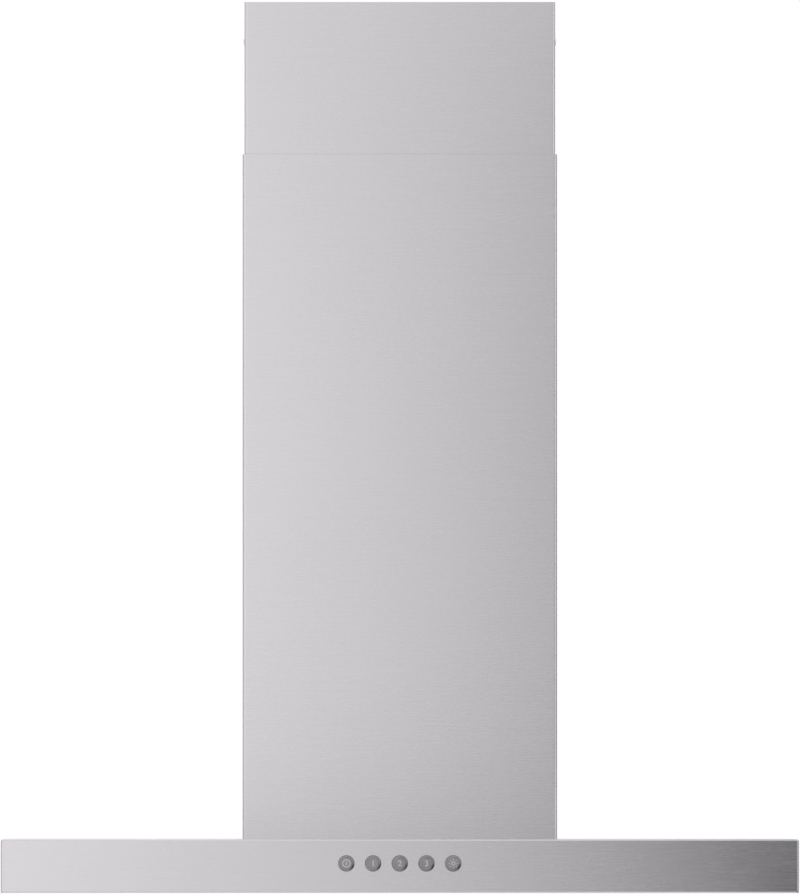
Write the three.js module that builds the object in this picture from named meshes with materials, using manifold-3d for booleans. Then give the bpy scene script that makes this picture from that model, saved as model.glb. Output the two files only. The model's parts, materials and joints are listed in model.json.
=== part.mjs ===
// Wall-hung chimney range hood in brushed stainless steel, in millimetres.
// +Z is up, the front faces -Y, the wall is at +Y and the origin is the middle of the underside.
import * as THREE from "three";
import { mergeVertices } from "three/addons/utils/BufferGeometryUtils.js";
import Module from "manifold-3d";

// ---------------------------------------------------------------- driving dimensions

// Canopy
const canopyWidth = 598;
const canopyDepth = 450;
const canopyHeight = 40;
const canopyEdgeRadius = 1.5;
const canopyHem = 12; // fold that runs inwards round the underside
const sheet = 0.8; // stainless sheet of the canopy, the panel and both chimneys

// Chimney covers
const chimneyWidth = 237.5;
const chimneyDepth = 230;
const lowerChimneyHeight = 517;
const upperChimneyLength = 410;
const upperChimneyShown = 115; // how far the upper cover stands above the lower one
const chimneyBend = 1.6; // outer radius of the folded front corners
const chimneyReturn = 11; // fold along the wall
const chimneyFoot = 9; // fold that stands on the canopy
const slideGap = 0.6; // between the two covers
const sideScrewDrop = 27; // screw axis below the upper cover's top edge
const sideScrewHeadRadius = 3;
const sideScrewHeadHeight = 1.2;
const smallScrewRadius = 1.5;

// Ceiling bracket
const bracketSheet = 2;
const bracketHeight = 40;
const bracketArmReach = 48; // from the wall to the bend that turns out to the cover's side
const bracketEarLength = 42;
const bracketHoleRadius = 3.2;
const bracketHoleShare = 0.6; // of the bracket's half width

// Push buttons and their switch
const buttonNames = ["power", "speed_1", "speed_2", "speed_3", "light"];
const buttonRadius = 5.9;
const buttonPitch = 20;
const buttonHeight = 22; // axis above the canopy's underside
const buttonProud = 1.6;
const buttonTravel = 2.5;
const buttonHoleGap = 0.3;
const buttonFlangeRadius = 7;
const buttonFlangeThickness = 1.2;
const stemRadius = 2.4;
const stemLength = 11;
const springWall = 1.1;
const springLength = 6.1;
const switchDepth = 12;
const switchHeight = 18;
const boardThickness = 1.6;
const studRadius = 1.5;
const standoffRadius = 4;
const nutRadius = 3.2;
const nutThickness = 2.4;
const studMargin = 16; // from the last button's place to the stud
const studPastNut = 1.5;
const switchLugThickness = 3;
const stemRoom = 1.9; // left under a stem that is pressed right in

// Underside: lamps and grease filters
const lampStripDepth = 100;
const lampRow = 60; // from the fascia to the lamps' axes
const filterSideMargin = 39;
const filterRearMargin = 30;
const filterBar = 20; // panel left between the two filters
const filterGap = 1.5; // round a filter in its opening
const filterThickness = 10;
const filterRim = 12;
const filterShell = 4;
const padMargin = 0.3;
const padSeat = 1.6; // frame metal under and over the pad
const crimpSheet = 0.8;
const crimps = 32;
const tongueWidth = 20;
const tongueReach = 8;
const tongueSpacing = 160;
const tongueThickness = 1;
const lampSideMargin = 119; // from the canopy's side to a lamp's axis
const lampHoleRadius = 29;
const lampFlange = 4;
const lampBodyHeight = 20.4;
const lampBodyFlange = 1.2;
const lampCavity = 6;
const finSlotDepth = 9;
const finSlotHalf = 2.2;
const bezelSleeveHeight = 5;
const bezelWall = 2;
const lensOverlap = 2.2; // of the bezel under the lens
const lensThickness = 2;
const panelLip = 7;
const driverSize = [100, 32, 20];
const driverLug = [8, 12, 2]; // reach, width and thickness of each fixing lug
const driverHoleRadius = 2;

// Filter latch
const latchBlock = [60, 32]; // solid part of the filter's rim round the latch
const wellHalfWidth = 22;
const wellDepth = 7.5;
const wellLength = 24;
const boltHalfWidth = 10;
const boltThickness = 2;
const boltReach = 3; // over the panel's edge
const latchTravel = 6;
const latchSpringRadius = 1.2;

// Fan housing and fan
const housingSheet = 1;
const housingHeight = 300;
const electronicsSpace = 47; // between the chimney's front and the housing
const housingSideGap = 2.35; // to the upper cover's wall fold
const housingFlange = 15;
const keyholeSpacing = 140;
const keyholeHeight = 270; // above the canopy's top
const keyholeRadius = 5;
const keyholeSlot = 5.4;
const scrollWall = 2;
const scrollGap = 2.5; // to the housing's front and back
const scrollGrowth = 16;
const impellerGap = 6; // to the scroll at its tongue
const intakeHeight = 22; // under the scroll
const scrollHalfWidth = 60;
const impellerHalfWidth = 46;
const bladeCount = 18;
const bladeDepth = 11.5;
const bladeThickness = 1.2;
const discThickness = 3;
const rimWidth = 4;
const rimThickness = 2;
const hubRadius = 12;
const hubHalfLength = 8;
const shaftRadius = 4;
const shaftFit = 0.15;
const motorGap = 8.5; // from the motor to the blades round it
const motorLength = 43;
const shaftInMotor = 28;
const shaftPastHub = 6;
const shaftNutRadius = 7.5;
const shaftNutThickness = 5;
const motorFrontGap = 4; // from the motor's nose to the impeller's hub
const inletMargin = 6; // the inlet is this much smaller than the impeller
const bellThickness = 5;
const bellReach = 4;
const armWidth = 12;
const armThickness = 3;
const armFoot = 8;
const motorBossRadius = 24;
const housingScrewInset = 40; // behind the housing's front
const housingScrewRadius = 2;
const housingScrewHeadRadius = 4.5;
const housingScrewHeadHeight = 3;

// Duct collar and its damper
const ductDiameter = 150;
const ductFit = 1;
const collarWall = 2;
const collarHeight = 55;
const collarFlange = 9.5;
const collarFlangeThickness = 3;
const stopLip = 3.5;
const stopHeight = 16;
const stopThickness = 2;
const flapThickness = 1.6;
const flapSeat = 0.3;
const damperPinRadius = 1.5;
const knuckleRadius = 3;
const knuckleBore = 1.8;
const knuckleHalfLength = 8;
const frontKnuckles = [-48, 12]; // along the damper's pin
const rearKnuckles = [-18, 42];
const flapRimGap = 1;

// Electronics on the housing's front
const terminalBoxSize = [90, 30, 60];
const terminalBoxLeft = -85;
const terminalBoxRise = 140; // above the canopy's top
const terminalWall = 2;
const lidThickness = 3;
const capacitorRadius = 15;
const capacitorLength = 50;
const capacitorX = 50;
const clipWall = 1;
const glandRadius = 9;
const glandHeight = 15;
const glandNutHeight = 6;
const glandBore = 3.5;
const leadRadius = 2.2;
const lampLeadRadius = 1.5;
const switchLeadX = -45;
const switchLeadGap = 26; // from the housing's front to the lead's hole in the canopy
const switchLeadHoleRadius = 7.9;

// Faces that only rest near each other keep this much air.
const air = 0.3;

// ---------------------------------------------------------------- derived places

const wallY = canopyDepth / 2;
const fasciaY = -canopyDepth / 2;
const panelTop = 2 * sheet;
const chimneyHalf = chimneyWidth / 2;
const upperInset = sheet + slideGap;
const upperHalf = chimneyHalf - upperInset;
const upperTop = lowerChimneyHeight + upperChimneyShown;

const housingHalf = upperHalf - chimneyReturn - housingSideGap;
const housingDepth = chimneyDepth - electronicsSpace;
const housingInside = housingHeight - housingSheet;
const scrollEnd = housingDepth / 2 - housingSheet - scrollGap - scrollWall;
const scrollStart = scrollEnd - scrollGrowth;
const impellerRadius = scrollStart - impellerGap;
const fanRise = scrollEnd + scrollWall + intakeHeight;
const inletRadius = impellerRadius - inletMargin;
const motorRadius = impellerRadius - bladeDepth - motorGap;
const motorNose = -hubHalfLength - motorFrontGap;
const motorBack = motorNose - motorLength;

const collarOuter = (ductDiameter - ductFit) / 2;
const collarInner = collarOuter - collarWall;
const damperAxis = stopHeight + stopThickness + flapSeat + flapThickness / 2;

const switchFront = sheet + air + buttonFlangeThickness + 2 * air + springLength;
const stemEnd = sheet + air + buttonFlangeThickness + stemLength;
const studX = (buttonNames.length * buttonPitch) / 2 + studMargin;

const filterWidth = (canopyWidth - 2 * filterSideMargin - filterBar) / 2;
const filterDepth = canopyDepth - lampStripDepth - filterRearMargin;
const filterX = (filterBar + filterWidth) / 2;
const filterHingeY = wallY - filterRearMargin;
const lampX = canopyWidth / 2 - lampSideMargin;
const lampY = fasciaY + lampRow;

// ---------------------------------------------------------------- solids

const wasm = await Module();
wasm.setup();

// A closed three.js geometry as a solid that can be cut and joined.
function solidOf(geometry) {
  const bare = geometry.index ? geometry.toNonIndexed() : geometry.clone();
  bare.deleteAttribute("normal");
  bare.deleteAttribute("uv");
  const merged = mergeVertices(bare, 1e-4);
  const corners = merged.index.array;
  const faces = [];
  for (let i = 0; i < corners.length; i += 3) {
    const [a, b, c] = corners.slice(i, i + 3);
    if (a !== b && b !== c && c !== a) faces.push(a, b, c);
  }
  const vertProperties = merged.attributes.position.array;
  const triVerts = new Uint32Array(faces);
  return new wasm.Manifold(new wasm.Mesh({ numProp: 3, vertProperties, triVerts }));
}

function geometryOf(solid) {
  const mesh = solid.getMesh();
  const geometry = new THREE.BufferGeometry();
  const points = new Float32Array(mesh.vertProperties);
  geometry.setAttribute("position", new THREE.BufferAttribute(points, 3));
  geometry.setIndex(new THREE.BufferAttribute(new Uint32Array(mesh.triVerts), 1));
  geometry.computeVertexNormals();
  return geometry;
}

const join = (...solids) => solids.reduce((whole, solid) => whole.add(solid));
const cut = (body, ...tools) => tools.reduce((rest, tool) => rest.subtract(tool), body);
const shared = (a, b) => a.intersect(b);

// A box between two limits on each axis.
function block([x0, x1], [y0, y1], [z0, z1]) {
  const geometry = new THREE.BoxGeometry(x1 - x0, y1 - y0, z1 - z0);
  geometry.translate((x0 + x1) / 2, (y0 + y1) / 2, (z0 + z1) / 2);
  return solidOf(geometry);
}

// Turns a geometry made along one axis so that it lies along another.
const turned = {
  x: new THREE.Matrix4().makeBasis(
    new THREE.Vector3(0, 1, 0), new THREE.Vector3(0, 0, 1), new THREE.Vector3(1, 0, 0)),
  y: new THREE.Matrix4().makeBasis(
    new THREE.Vector3(0, 0, 1), new THREE.Vector3(1, 0, 0), new THREE.Vector3(0, 1, 0)),
  z: new THREE.Matrix4(),
};

// An outline swept along an axis. The outline is in (y, z) along x, (z, x) along y, (x, y) along z.
function prism(axis, outline, [from, to]) {
  const shape = new THREE.Shape(outline.map(([u, v]) => new THREE.Vector2(u, v)));
  const geometry = new THREE.ExtrudeGeometry(shape, { depth: to - from, bevelEnabled: false });
  geometry.translate(0, 0, from);
  geometry.applyMatrix4(turned[axis]);
  return solidOf(geometry);
}

function circle([u, v], radius, sides) {
  const points = [];
  for (let i = 0; i < sides; i++) {
    const angle = (2 * Math.PI * i) / sides;
    points.push([u + radius * Math.cos(angle), v + radius * Math.sin(angle)]);
  }
  return points;
}

// A round bar along an axis, centred as prism's outlines are.
const bar = (axis, centre, radius, span, sides = 24) =>
  prism(axis, circle(centre, radius, sides), span);

const tubeOf = (axis, centre, outer, inner, span, sides = 24) =>
  cut(bar(axis, centre, outer, span, sides),
    bar(axis, centre, inner, [span[0] - 1, span[1] + 1], sides));

// A turned piece: its profile lists (radius, distance along the axis) and starts and ends on the axis.
function turnedPiece(axis, profile, sides = 24) {
  const points = profile.map(([radius, along]) => new THREE.Vector2(radius, along));
  const geometry = new THREE.LatheGeometry(points, sides);
  const standing = new THREE.Matrix4().makeRotationX(Math.PI / 2);
  geometry.applyMatrix4(standing);
  geometry.applyMatrix4(turned[axis]);
  return solidOf(geometry);
}

function arc([u, v], radius, fromDegrees, toDegrees, steps) {
  const points = [];
  for (let i = 0; i <= steps; i++) {
    const angle = THREE.MathUtils.degToRad(fromDegrees + ((toDegrees - fromDegrees) * i) / steps);
    points.push([u + radius * Math.cos(angle), v + radius * Math.sin(angle)]);
  }
  return points;
}

function roundedRectangle(halfWidth, halfDepth, radius) {
  const u = halfWidth - radius;
  const v = halfDepth - radius;
  return [
    ...arc([u, v], radius, 0, 90, 3),
    ...arc([-u, v], radius, 90, 180, 3),
    ...arc([-u, -v], radius, 180, 270, 3),
    ...arc([u, -v], radius, 270, 360, 3),
  ];
}

// A box with all its edges rounded, standing on z = 0.
function roundedBox(width, depth, height, radius) {
  const outline = roundedRectangle(width / 2 - radius, depth / 2 - radius, radius * 0.02);
  const shape = new THREE.Shape(outline.map(([u, v]) => new THREE.Vector2(u, v)));
  const geometry = new THREE.ExtrudeGeometry(shape, {
    depth: height - 2 * radius,
    bevelThickness: radius,
    bevelSize: radius,
    bevelSegments: 3,
  });
  geometry.translate(0, 0, radius);
  return solidOf(geometry);
}

// A cable along a smooth curve through its points.
function cable(points, radius, steps) {
  const path = new THREE.CatmullRomCurve3(points.map((p) => new THREE.Vector3(...p)));
  const shape = new THREE.Shape(
    circle([0, 0], radius, 8).map(([u, v]) => new THREE.Vector2(u, v)));
  return solidOf(new THREE.ExtrudeGeometry(shape, { steps, extrudePath: path, bevelEnabled: false }));
}

// ---------------------------------------------------------------- materials

const finish = (color, roughness, metalness) =>
  new THREE.MeshStandardMaterial({ color, roughness, metalness });
const brushedSteel = () => finish(0xc9c6ca, 0.38, 1);
const galvanisedSteel = () => finish(0xa9adb0, 0.5, 1);
const zincSteel = () => finish(0xb9bbbd, 0.3, 1);
const buttonSatin = () => finish(0x8f8f92, 0.4, 0.9);
const aluminium = () => finish(0xc3c5c7, 0.45, 1);
const darkPlastic = () => finish(0x2b2c2e, 0.55, 0);
const paleGreyPlastic = () => finish(0xb7b9ba, 0.5, 0);
const circuitGreen = () => finish(0x1f5a38, 0.5, 0);
const frostedLens = () => finish(0xf2f3f0, 0.35, 0);
const cableJacket = () => finish(0x3a3b3d, 0.6, 0);
const motorPaint = () => finish(0x4a4d50, 0.5, 0.4);

function node(name, solid, material) {
  const mesh = new THREE.Mesh(geometryOf(solid), material);
  mesh.name = name;
  return mesh;
}

function groupAt(x, y, z, ...children) {
  const group = new THREE.Group();
  group.position.set(x, y, z);
  if (children.length) group.add(...children);
  return group;
}

// ---------------------------------------------------------------- canopy

const fanCentreY = -housingDepth / 2; // from the wall
const intakeHalf = housingHalf - housingFlange;
const intakeBack = -housingFlange;
const intakeFront = -housingDepth + housingFlange;
const housingScrewX = housingHalf - housingFlange / 2;
const housingScrewY = -housingDepth + housingScrewInset;
const switchLeadHoleY = wallY - housingDepth - switchLeadGap;

const buttonX = (index) => (index - (buttonNames.length - 1) / 2) * buttonPitch;

function canopyShell() {
  const inner = roundedRectangle(
    canopyWidth / 2 - sheet, canopyDepth / 2 - sheet, canopyEdgeRadius - sheet);
  const mouth = [
    [-canopyWidth / 2 + canopyHem, canopyWidth / 2 - canopyHem],
    [-canopyDepth / 2 + canopyHem, canopyDepth / 2 - canopyHem],
    [-1, 2 * sheet],
  ];
  let shell = roundedBox(canopyWidth, canopyDepth, canopyHeight, canopyEdgeRadius);
  shell = cut(shell, prism("z", inner, [sheet, canopyHeight - sheet]), block(...mouth));

  const above = [canopyHeight - 2 * sheet, canopyHeight + 1];
  shell = cut(
    shell,
    block([-intakeHalf, intakeHalf], [wallY + intakeFront, wallY + intakeBack], above),
    bar("z", [switchLeadX, switchLeadHoleY], switchLeadHoleRadius, above, 16));
  for (const side of [-1, 1]) {
    const screw = [side * housingScrewX, wallY + housingScrewY];
    shell = cut(shell, bar("z", screw, housingScrewRadius + air, above, 12));
  }

  const through = [fasciaY - 1, fasciaY + 2 * sheet];
  for (let i = 0; i < buttonNames.length; i++) {
    const hole = bar("y", [buttonHeight, buttonX(i)], buttonRadius + buttonHoleGap, through, 20);
    shell = cut(shell, hole);
  }
  const studEnd = switchFront + switchLugThickness + nutThickness + studPastNut;
  for (const side of [-1, 1]) {
    const stud = bar("y", [buttonHeight, side * studX], studRadius,
      [fasciaY + sheet / 2, fasciaY + studEnd], 12);
    shell = join(shell, stud);
  }
  return node("canopy_shell", shell, brushedSteel());
}

function innerPanel() {
  const halfWidth = canopyWidth / 2 - sheet - 0.5;
  const halfDepth = canopyDepth / 2 - sheet - 0.5;
  const outline = roundedRectangle(halfWidth, halfDepth, 1);
  let panel = prism("z", outline, [sheet, panelTop + panelLip]);
  panel = cut(panel, block([-halfWidth + sheet, halfWidth - sheet],
    [-halfDepth + sheet, halfDepth - sheet], [panelTop, panelTop + panelLip + 1]));
  for (const side of [-1, 1]) {
    const near = side * filterX - filterWidth / 2;
    const opening = block([near, near + filterWidth],
      [filterHingeY - filterDepth, filterHingeY], [0, panelTop + 1]);
    const lampHole = bar("z", [side * lampX, lampY], lampHoleRadius,
      [0, panelTop + 1], 24);
    panel = cut(panel, opening, lampHole);
  }
  return node("inner_panel", panel, brushedSteel());
}

// ---------------------------------------------------------------- push buttons
// The group's origin is on the fascia's face at the buttons' height, so y is the depth behind it.

function pushButton(name) {
  const flangeFront = sheet + air;
  const flangeBack = flangeFront + buttonFlangeThickness;
  const cap = turnedPiece("y", [
    [0, -buttonProud],
    [buttonRadius - 1.2, -buttonProud],
    [buttonRadius - 0.4, -buttonProud + 0.4],
    [buttonRadius, -buttonProud + 1.1],
    [buttonRadius, flangeFront],
    [buttonFlangeRadius, flangeFront],
    [buttonFlangeRadius, flangeBack],
    [stemRadius, flangeBack],
    [stemRadius, flangeBack + stemLength],
    [0, flangeBack + stemLength],
  ], 18);
  return node(`button_${name}`, cap, buttonSatin());
}

function buttonSpring(name) {
  const start = sheet + 2 * air + buttonFlangeThickness;
  const inner = stemRadius + air;
  const ring = tubeOf("y", [0, 0], inner + springWall, inner, [start, start + springLength], 12);
  return node(`button_spring_${name}`, ring, zincSteel());
}

function switchHousing() {
  const halfWidth = studX - standoffRadius - 2;
  const lugHalf = studX + standoffRadius + 1;
  const span = [switchFront, switchFront + switchDepth];
  const reach = stemEnd + buttonTravel + stemRoom;
  let body = block([-halfWidth, halfWidth], span, [-switchHeight / 2, switchHeight / 2]);
  body = join(body, block([-lugHalf, lugHalf], [switchFront, switchFront + switchLugThickness],
    [-standoffRadius - 1, standoffRadius + 1]));
  for (let i = 0; i < buttonNames.length; i++) {
    body = cut(body, bar("y", [0, buttonX(i)], stemRadius + air,
      [switchFront - 1, Math.min(span[1] - 1.5, reach)], 12));
  }
  for (const side of [-1, 1]) {
    const at = [0, side * studX];
    body = join(body, bar("y", at, standoffRadius, [sheet, switchFront + 1], 16));
    body = cut(body, bar("y", at, studRadius + air, [0, switchFront + switchLugThickness + 1], 12));
  }
  return node("switch_housing", body, darkPlastic());
}

function switchBoard() {
  const halfWidth = studX - standoffRadius - 3;
  const face = switchFront + switchDepth;
  const back = face + boardThickness;
  const connector = block([switchLeadX - 6, switchLeadX + 6], [back - 0.4, back + 6], [-2, 7]);
  const chip = block([8, 22], [back - 0.4, back + 2], [-5, 5]);
  const board = block([-halfWidth, halfWidth], [face, back], [-switchHeight / 2 + 1, switchHeight / 2 - 1]);
  return node("switch_board", join(board, connector, chip), circuitGreen());
}

function studNut(name, side) {
  const start = switchFront + switchLugThickness;
  const span = [start, start + nutThickness];
  const at = [0, side * studX];
  const hexagon = bar("y", at, nutRadius, span, 6);
  const hole = bar("y", at, studRadius + 0.15, [span[0] - 1, span[1] + 1], 12);
  return node(name, cut(hexagon, hole), zincSteel());
}

function controls() {
  const group = groupAt(0, fasciaY, buttonHeight, switchHousing(), switchBoard(),
    studNut("switch_nut_left", -1), studNut("switch_nut_right", 1));
  buttonNames.forEach((name, i) => {
    group.add(groupAt(buttonX(i), 0, 0, pushButton(name), buttonSpring(name)));
  });
  return group;
}

// ---------------------------------------------------------------- lamps
// Each lamp's group stands on the underside's level at the lamp's axis.

const bezelSleeve = lampHoleRadius - 0.5;
const bezelSleeveInner = bezelSleeve - bezelWall;
const lensRadius = bezelSleeveInner - air;
const lampFlangeRadius = lampHoleRadius + lampFlange;

function lampBezel(side) {
  const flange = tubeOf("z", [0, 0], lampFlangeRadius, lensRadius - lensOverlap, [0, sheet], 24);
  const sleeve = tubeOf("z", [0, 0], bezelSleeve, bezelSleeveInner, [sheet / 2, bezelSleeveHeight], 24);
  return node(`lamp_bezel_${side}`, join(flange, sleeve), brushedSteel());
}

function lampLens(side) {
  const floor = sheet + air;
  const lens = bar("z", [0, 0], lensRadius, [floor, floor + lensThickness], 24);
  return node(`lamp_lens_${side}`, lens, frostedLens());
}

function lampBody(side) {
  const radius = lampHoleRadius + 2;
  const top = panelTop + lampBodyHeight;
  const cavity = panelTop + lampCavity;
  let body = turnedPiece("z", [
    [0, cavity],
    [lampHoleRadius - 0.2, cavity],
    [lampHoleRadius - 0.2, panelTop],
    [lampFlangeRadius, panelTop],
    [lampFlangeRadius, panelTop + lampBodyFlange],
    [radius, panelTop + lampBodyFlange],
    [radius, top],
    [0, top],
  ], 24);
  for (let i = -2; i <= 2; i++) {
    const x = (i * radius) / 3;
    body = cut(body, block([x - finSlotHalf, x + finSlotHalf], [-radius - 1, radius + 1],
      [top - finSlotDepth, top + 1]));
  }
  return node(`lamp_body_${side}`, body, aluminium());
}

function ledDriver() {
  const [length, depth, height] = driverSize;
  const [lugReach, lugWidth, lugThickness] = driverLug;
  const lugEnd = length / 2 + lugReach;
  const body = join(
    block([-length / 2, length / 2], [-depth / 2, depth / 2], [0, height]),
    block([-lugEnd, lugEnd], [-lugWidth / 2, lugWidth / 2], [0, lugThickness]));
  const holes = [-1, 1].map((side) =>
    bar("z", [side * (lugEnd - lugReach / 2), 0], driverHoleRadius, [-1, lugThickness + 1], 12));
  return node("led_driver", cut(body, ...holes), paleGreyPlastic());
}

function lampLead(name, side) {
  const start = [side * (driverSize[0] / 2 + air), lampY, 11];
  const end = [side * (lampX - lampHoleRadius - 2 - air), lampY, 11];
  const middle = (start[0] + end[0]) / 2;
  const route = [
    start,
    [start[0] + side * 8, lampY, 10.6],
    [start[0] + side * 22, lampY - 1, 6],
    [middle, lampY - 2, panelTop + 2.4],
    [end[0] - side * 22, lampY - 1, 6],
    [end[0] - side * 8, lampY, 10.6],
    end,
  ];
  return node(name, cable(route, lampLeadRadius, 16), cableJacket());
}

function lamps() {
  const group = groupAt(0, 0, 0, groupAt(0, lampY, panelTop, ledDriver()));
  for (const [side, sign] of [["left", -1], ["right", 1]]) {
    group.add(
      groupAt(sign * lampX, lampY, 0, lampBezel(side), lampLens(side), lampBody(side)),
      lampLead(`lamp_lead_${side}`, sign));
  }
  return group;
}

// ---------------------------------------------------------------- grease filters
// A filter's group has its origin under the panel's rear edge, where its tongues hook, so y < 0.

const filterBottom = sheet;
const filterTop = filterBottom + filterThickness;
const frameHalf = filterWidth / 2 - filterGap;
const frameRear = -filterGap;
const frameFront = -filterDepth + filterGap;
const wellFront = frameFront + 4;
const wellBack = wellFront + wellLength;
const wellTop = filterBottom + wellDepth;
const latchFloor = wellTop - 2.5; // underside of the sliding plate
const padFront = frameFront + filterShell;

function filterFrame(side) {
  const [blockWidth, blockLength] = latchBlock;
  const x = [-frameHalf, frameHalf];
  const window = [-frameHalf + filterRim, frameHalf - filterRim];
  const pad = [-frameHalf + filterShell, frameHalf - filterShell];
  let frame = block(x, [frameFront, frameRear], [filterBottom, filterTop]);
  frame = cut(
    frame,
    block(window, [frameFront + filterRim, frameRear - filterRim], [filterBottom - 1, filterTop + 1]),
    block(pad, [padFront, frameRear - filterShell], [filterBottom + padSeat, filterTop - padSeat]));
  frame = join(frame, block([-blockWidth / 2, blockWidth / 2],
    [frameFront, frameFront + blockLength], [filterBottom, filterTop]));
  for (const end of [-1, 1]) {
    const x0 = (end * tongueSpacing) / 2 - tongueWidth / 2;
    frame = join(frame, block([x0, x0 + tongueWidth], [frameRear - 2, tongueReach],
      [panelTop + air, panelTop + air + tongueThickness]));
  }
  frame = cut(
    frame,
    block([-wellHalfWidth, wellHalfWidth], [wellFront, wellBack], [0, wellTop]),
    block([-wellHalfWidth - 2, wellHalfWidth + 2], [wellFront, wellBack],
      [latchFloor - 0.2, wellTop]),
    block([-boltHalfWidth - 0.4, boltHalfWidth + 0.4], [frameFront - 1, wellFront + 1],
      [panelTop, latchFloor + 0.4]));
  return node(`filter_frame_${side}`, frame, aluminium());
}

// The pad is crimped metal mesh, which the solid keeps as one corrugated layer.
function filterMesh(side) {
  const half = frameHalf - filterShell - padMargin;
  const low = filterBottom + padSeat + padMargin;
  const high = filterTop - padSeat - padMargin;
  const rise = high - low - crimpSheet;
  const over = [];
  const under = [];
  for (let i = 0; i <= crimps; i++) {
    const x = -half + (2 * half * i) / crimps;
    const z = low + (i % 2) * rise;
    under.push([x, z]);
    over.unshift([x, z + crimpSheet]);
  }
  const outline = [...under, ...over].map(([x, z]) => [z, x]);
  const [blockWidth, blockLength] = latchBlock;
  const pad = prism("y", outline,
    [padFront + padMargin, frameRear - filterShell - padMargin]);
  const notch = block([-blockWidth / 2 - padMargin, blockWidth / 2 + padMargin],
    [frameFront, frameFront + blockLength + padMargin], [0, filterTop + 1]);
  return node(`filter_mesh_${side}`, cut(pad, notch), aluminium());
}

const latchPlateFront = wellFront + air;
const latchPlateBack = latchPlateFront + wellLength - latchTravel - 3;
const gripLength = 3;

function filterLatch(side) {
  const half = wellHalfWidth - 0.4;
  const plateTop = latchFloor + 2.1;
  const plate = block([-half, half], [latchPlateFront, latchPlateBack], [latchFloor, plateTop]);
  const wings = block([-half - 2, half + 2], [latchPlateFront, latchPlateBack],
    [latchFloor + 0.2, plateTop - 0.2]);
  const grip = block([-half, half], [latchPlateBack - gripLength, latchPlateBack],
    [filterBottom + 0.2, latchFloor + 1]);
  const bolt = block([-boltHalfWidth, boltHalfWidth], [-filterDepth - boltReach, latchPlateFront + 2],
    [panelTop + air, panelTop + air + boltThickness]);
  const web = block([-boltHalfWidth, boltHalfWidth], [latchPlateFront, latchPlateFront + 2],
    [panelTop + air, latchFloor + 1]);
  return node(`filter_latch_${side}`, join(plate, wings, grip, bolt, web), darkPlastic());
}

function latchSpring(side) {
  const centre = [(latchFloor + wellTop) / 2 - 0.2, 0];
  const span = [latchPlateBack + air, wellBack - air];
  return node(`latch_spring_${side}`, bar("y", centre, latchSpringRadius, span, 10), zincSteel());
}

function greaseFilters() {
  const group = groupAt(0, 0, 0);
  for (const [side, sign] of [["left", -1], ["right", 1]]) {
    group.add(groupAt(sign * filterX, filterHingeY, 0,
      filterFrame(side), filterMesh(side), filterLatch(side), latchSpring(side)));
  }
  return group;
}

// ---------------------------------------------------------------- chimney covers
// Their group stands on the canopy's top at the wall, so y < 0.

// Plan outline of a folded cover, open to the wall between its two returns.
function coverOutline(half, front, back, radius) {
  const inner = Math.max(radius - sheet, 0.2);
  return [
    [-half + chimneyReturn, back],
    [-half, back],
    ...arc([-half + radius, front + radius], radius, 180, 270, 4),
    ...arc([half - radius, front + radius], radius, 270, 360, 4),
    [half, back],
    [half - chimneyReturn, back],
    [half - chimneyReturn, back - sheet],
    [half - sheet, back - sheet],
    ...arc([half - sheet - inner, front + sheet + inner], inner, 360, 270, 4),
    ...arc([-half + sheet + inner, front + sheet + inner], inner, 270, 180, 4),
    [-half + sheet, back - sheet],
    [-half + chimneyReturn, back - sheet],
  ];
}

function lowerChimney() {
  const front = -chimneyDepth;
  const inside = chimneyHalf - sheet / 2;
  const cover = prism("z", coverOutline(chimneyHalf, front, 0, chimneyBend), [0, lowerChimneyHeight]);
  const foot = [0, sheet];
  const feet = [
    block([-inside + 2, inside - 2], [front + sheet / 2, front + sheet + chimneyFoot], foot),
    block([-inside, -chimneyHalf + chimneyFoot], [front + 20, -20], foot),
    block([chimneyHalf - chimneyFoot, inside], [front + 20, -20], foot),
  ];
  return node("lower_chimney", join(cover, ...feet), brushedSteel());
}

const screwY = -bracketArmReach - bracketEarLength / 2;

function upperChimney() {
  const front = -chimneyDepth + upperInset;
  const outline = coverOutline(upperHalf, front, -upperInset, chimneyBend);
  const span = [upperTop - upperChimneyLength, upperTop];
  const hole = bar("x", [screwY, upperTop - sideScrewDrop], smallScrewRadius + air,
    [-upperHalf - 1, upperHalf + 1], 12);
  return node("upper_chimney", cut(prism("z", outline, span), hole), brushedSteel());
}

function ceilingBracket() {
  const half = upperHalf - chimneyReturn - housingSideGap;
  const wallSide = upperHalf - sheet - air;
  const height = [upperTop - sideScrewDrop - bracketHeight / 2,
    upperTop - sideScrewDrop + bracketHeight / 2];
  let bracket = block([-half, half], [-bracketSheet, 0], height);
  for (const side of [-1, 1]) {
    const across = (a, b) => [Math.min(side * a, side * b), Math.max(side * a, side * b)];
    bracket = join(
      bracket,
      block(across(half - bracketSheet, half), [-bracketArmReach, 0], height),
      block(across(half - bracketSheet, wallSide), [-bracketArmReach, -bracketArmReach + bracketSheet],
        height),
      block(across(wallSide - bracketSheet, wallSide),
        [-bracketArmReach - bracketEarLength, -bracketArmReach + bracketSheet], height));
    const holeAt = [upperTop - sideScrewDrop, side * half * bracketHoleShare];
    bracket = cut(bracket, bar("y", holeAt, bracketHoleRadius, [-bracketSheet - 1, 1], 16));
  }
  const screwHoles = bar("x", [screwY, upperTop - sideScrewDrop], smallScrewRadius + air,
    [-upperHalf, upperHalf], 12);
  return node("ceiling_bracket", cut(bracket, screwHoles), galvanisedSteel());
}

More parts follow.
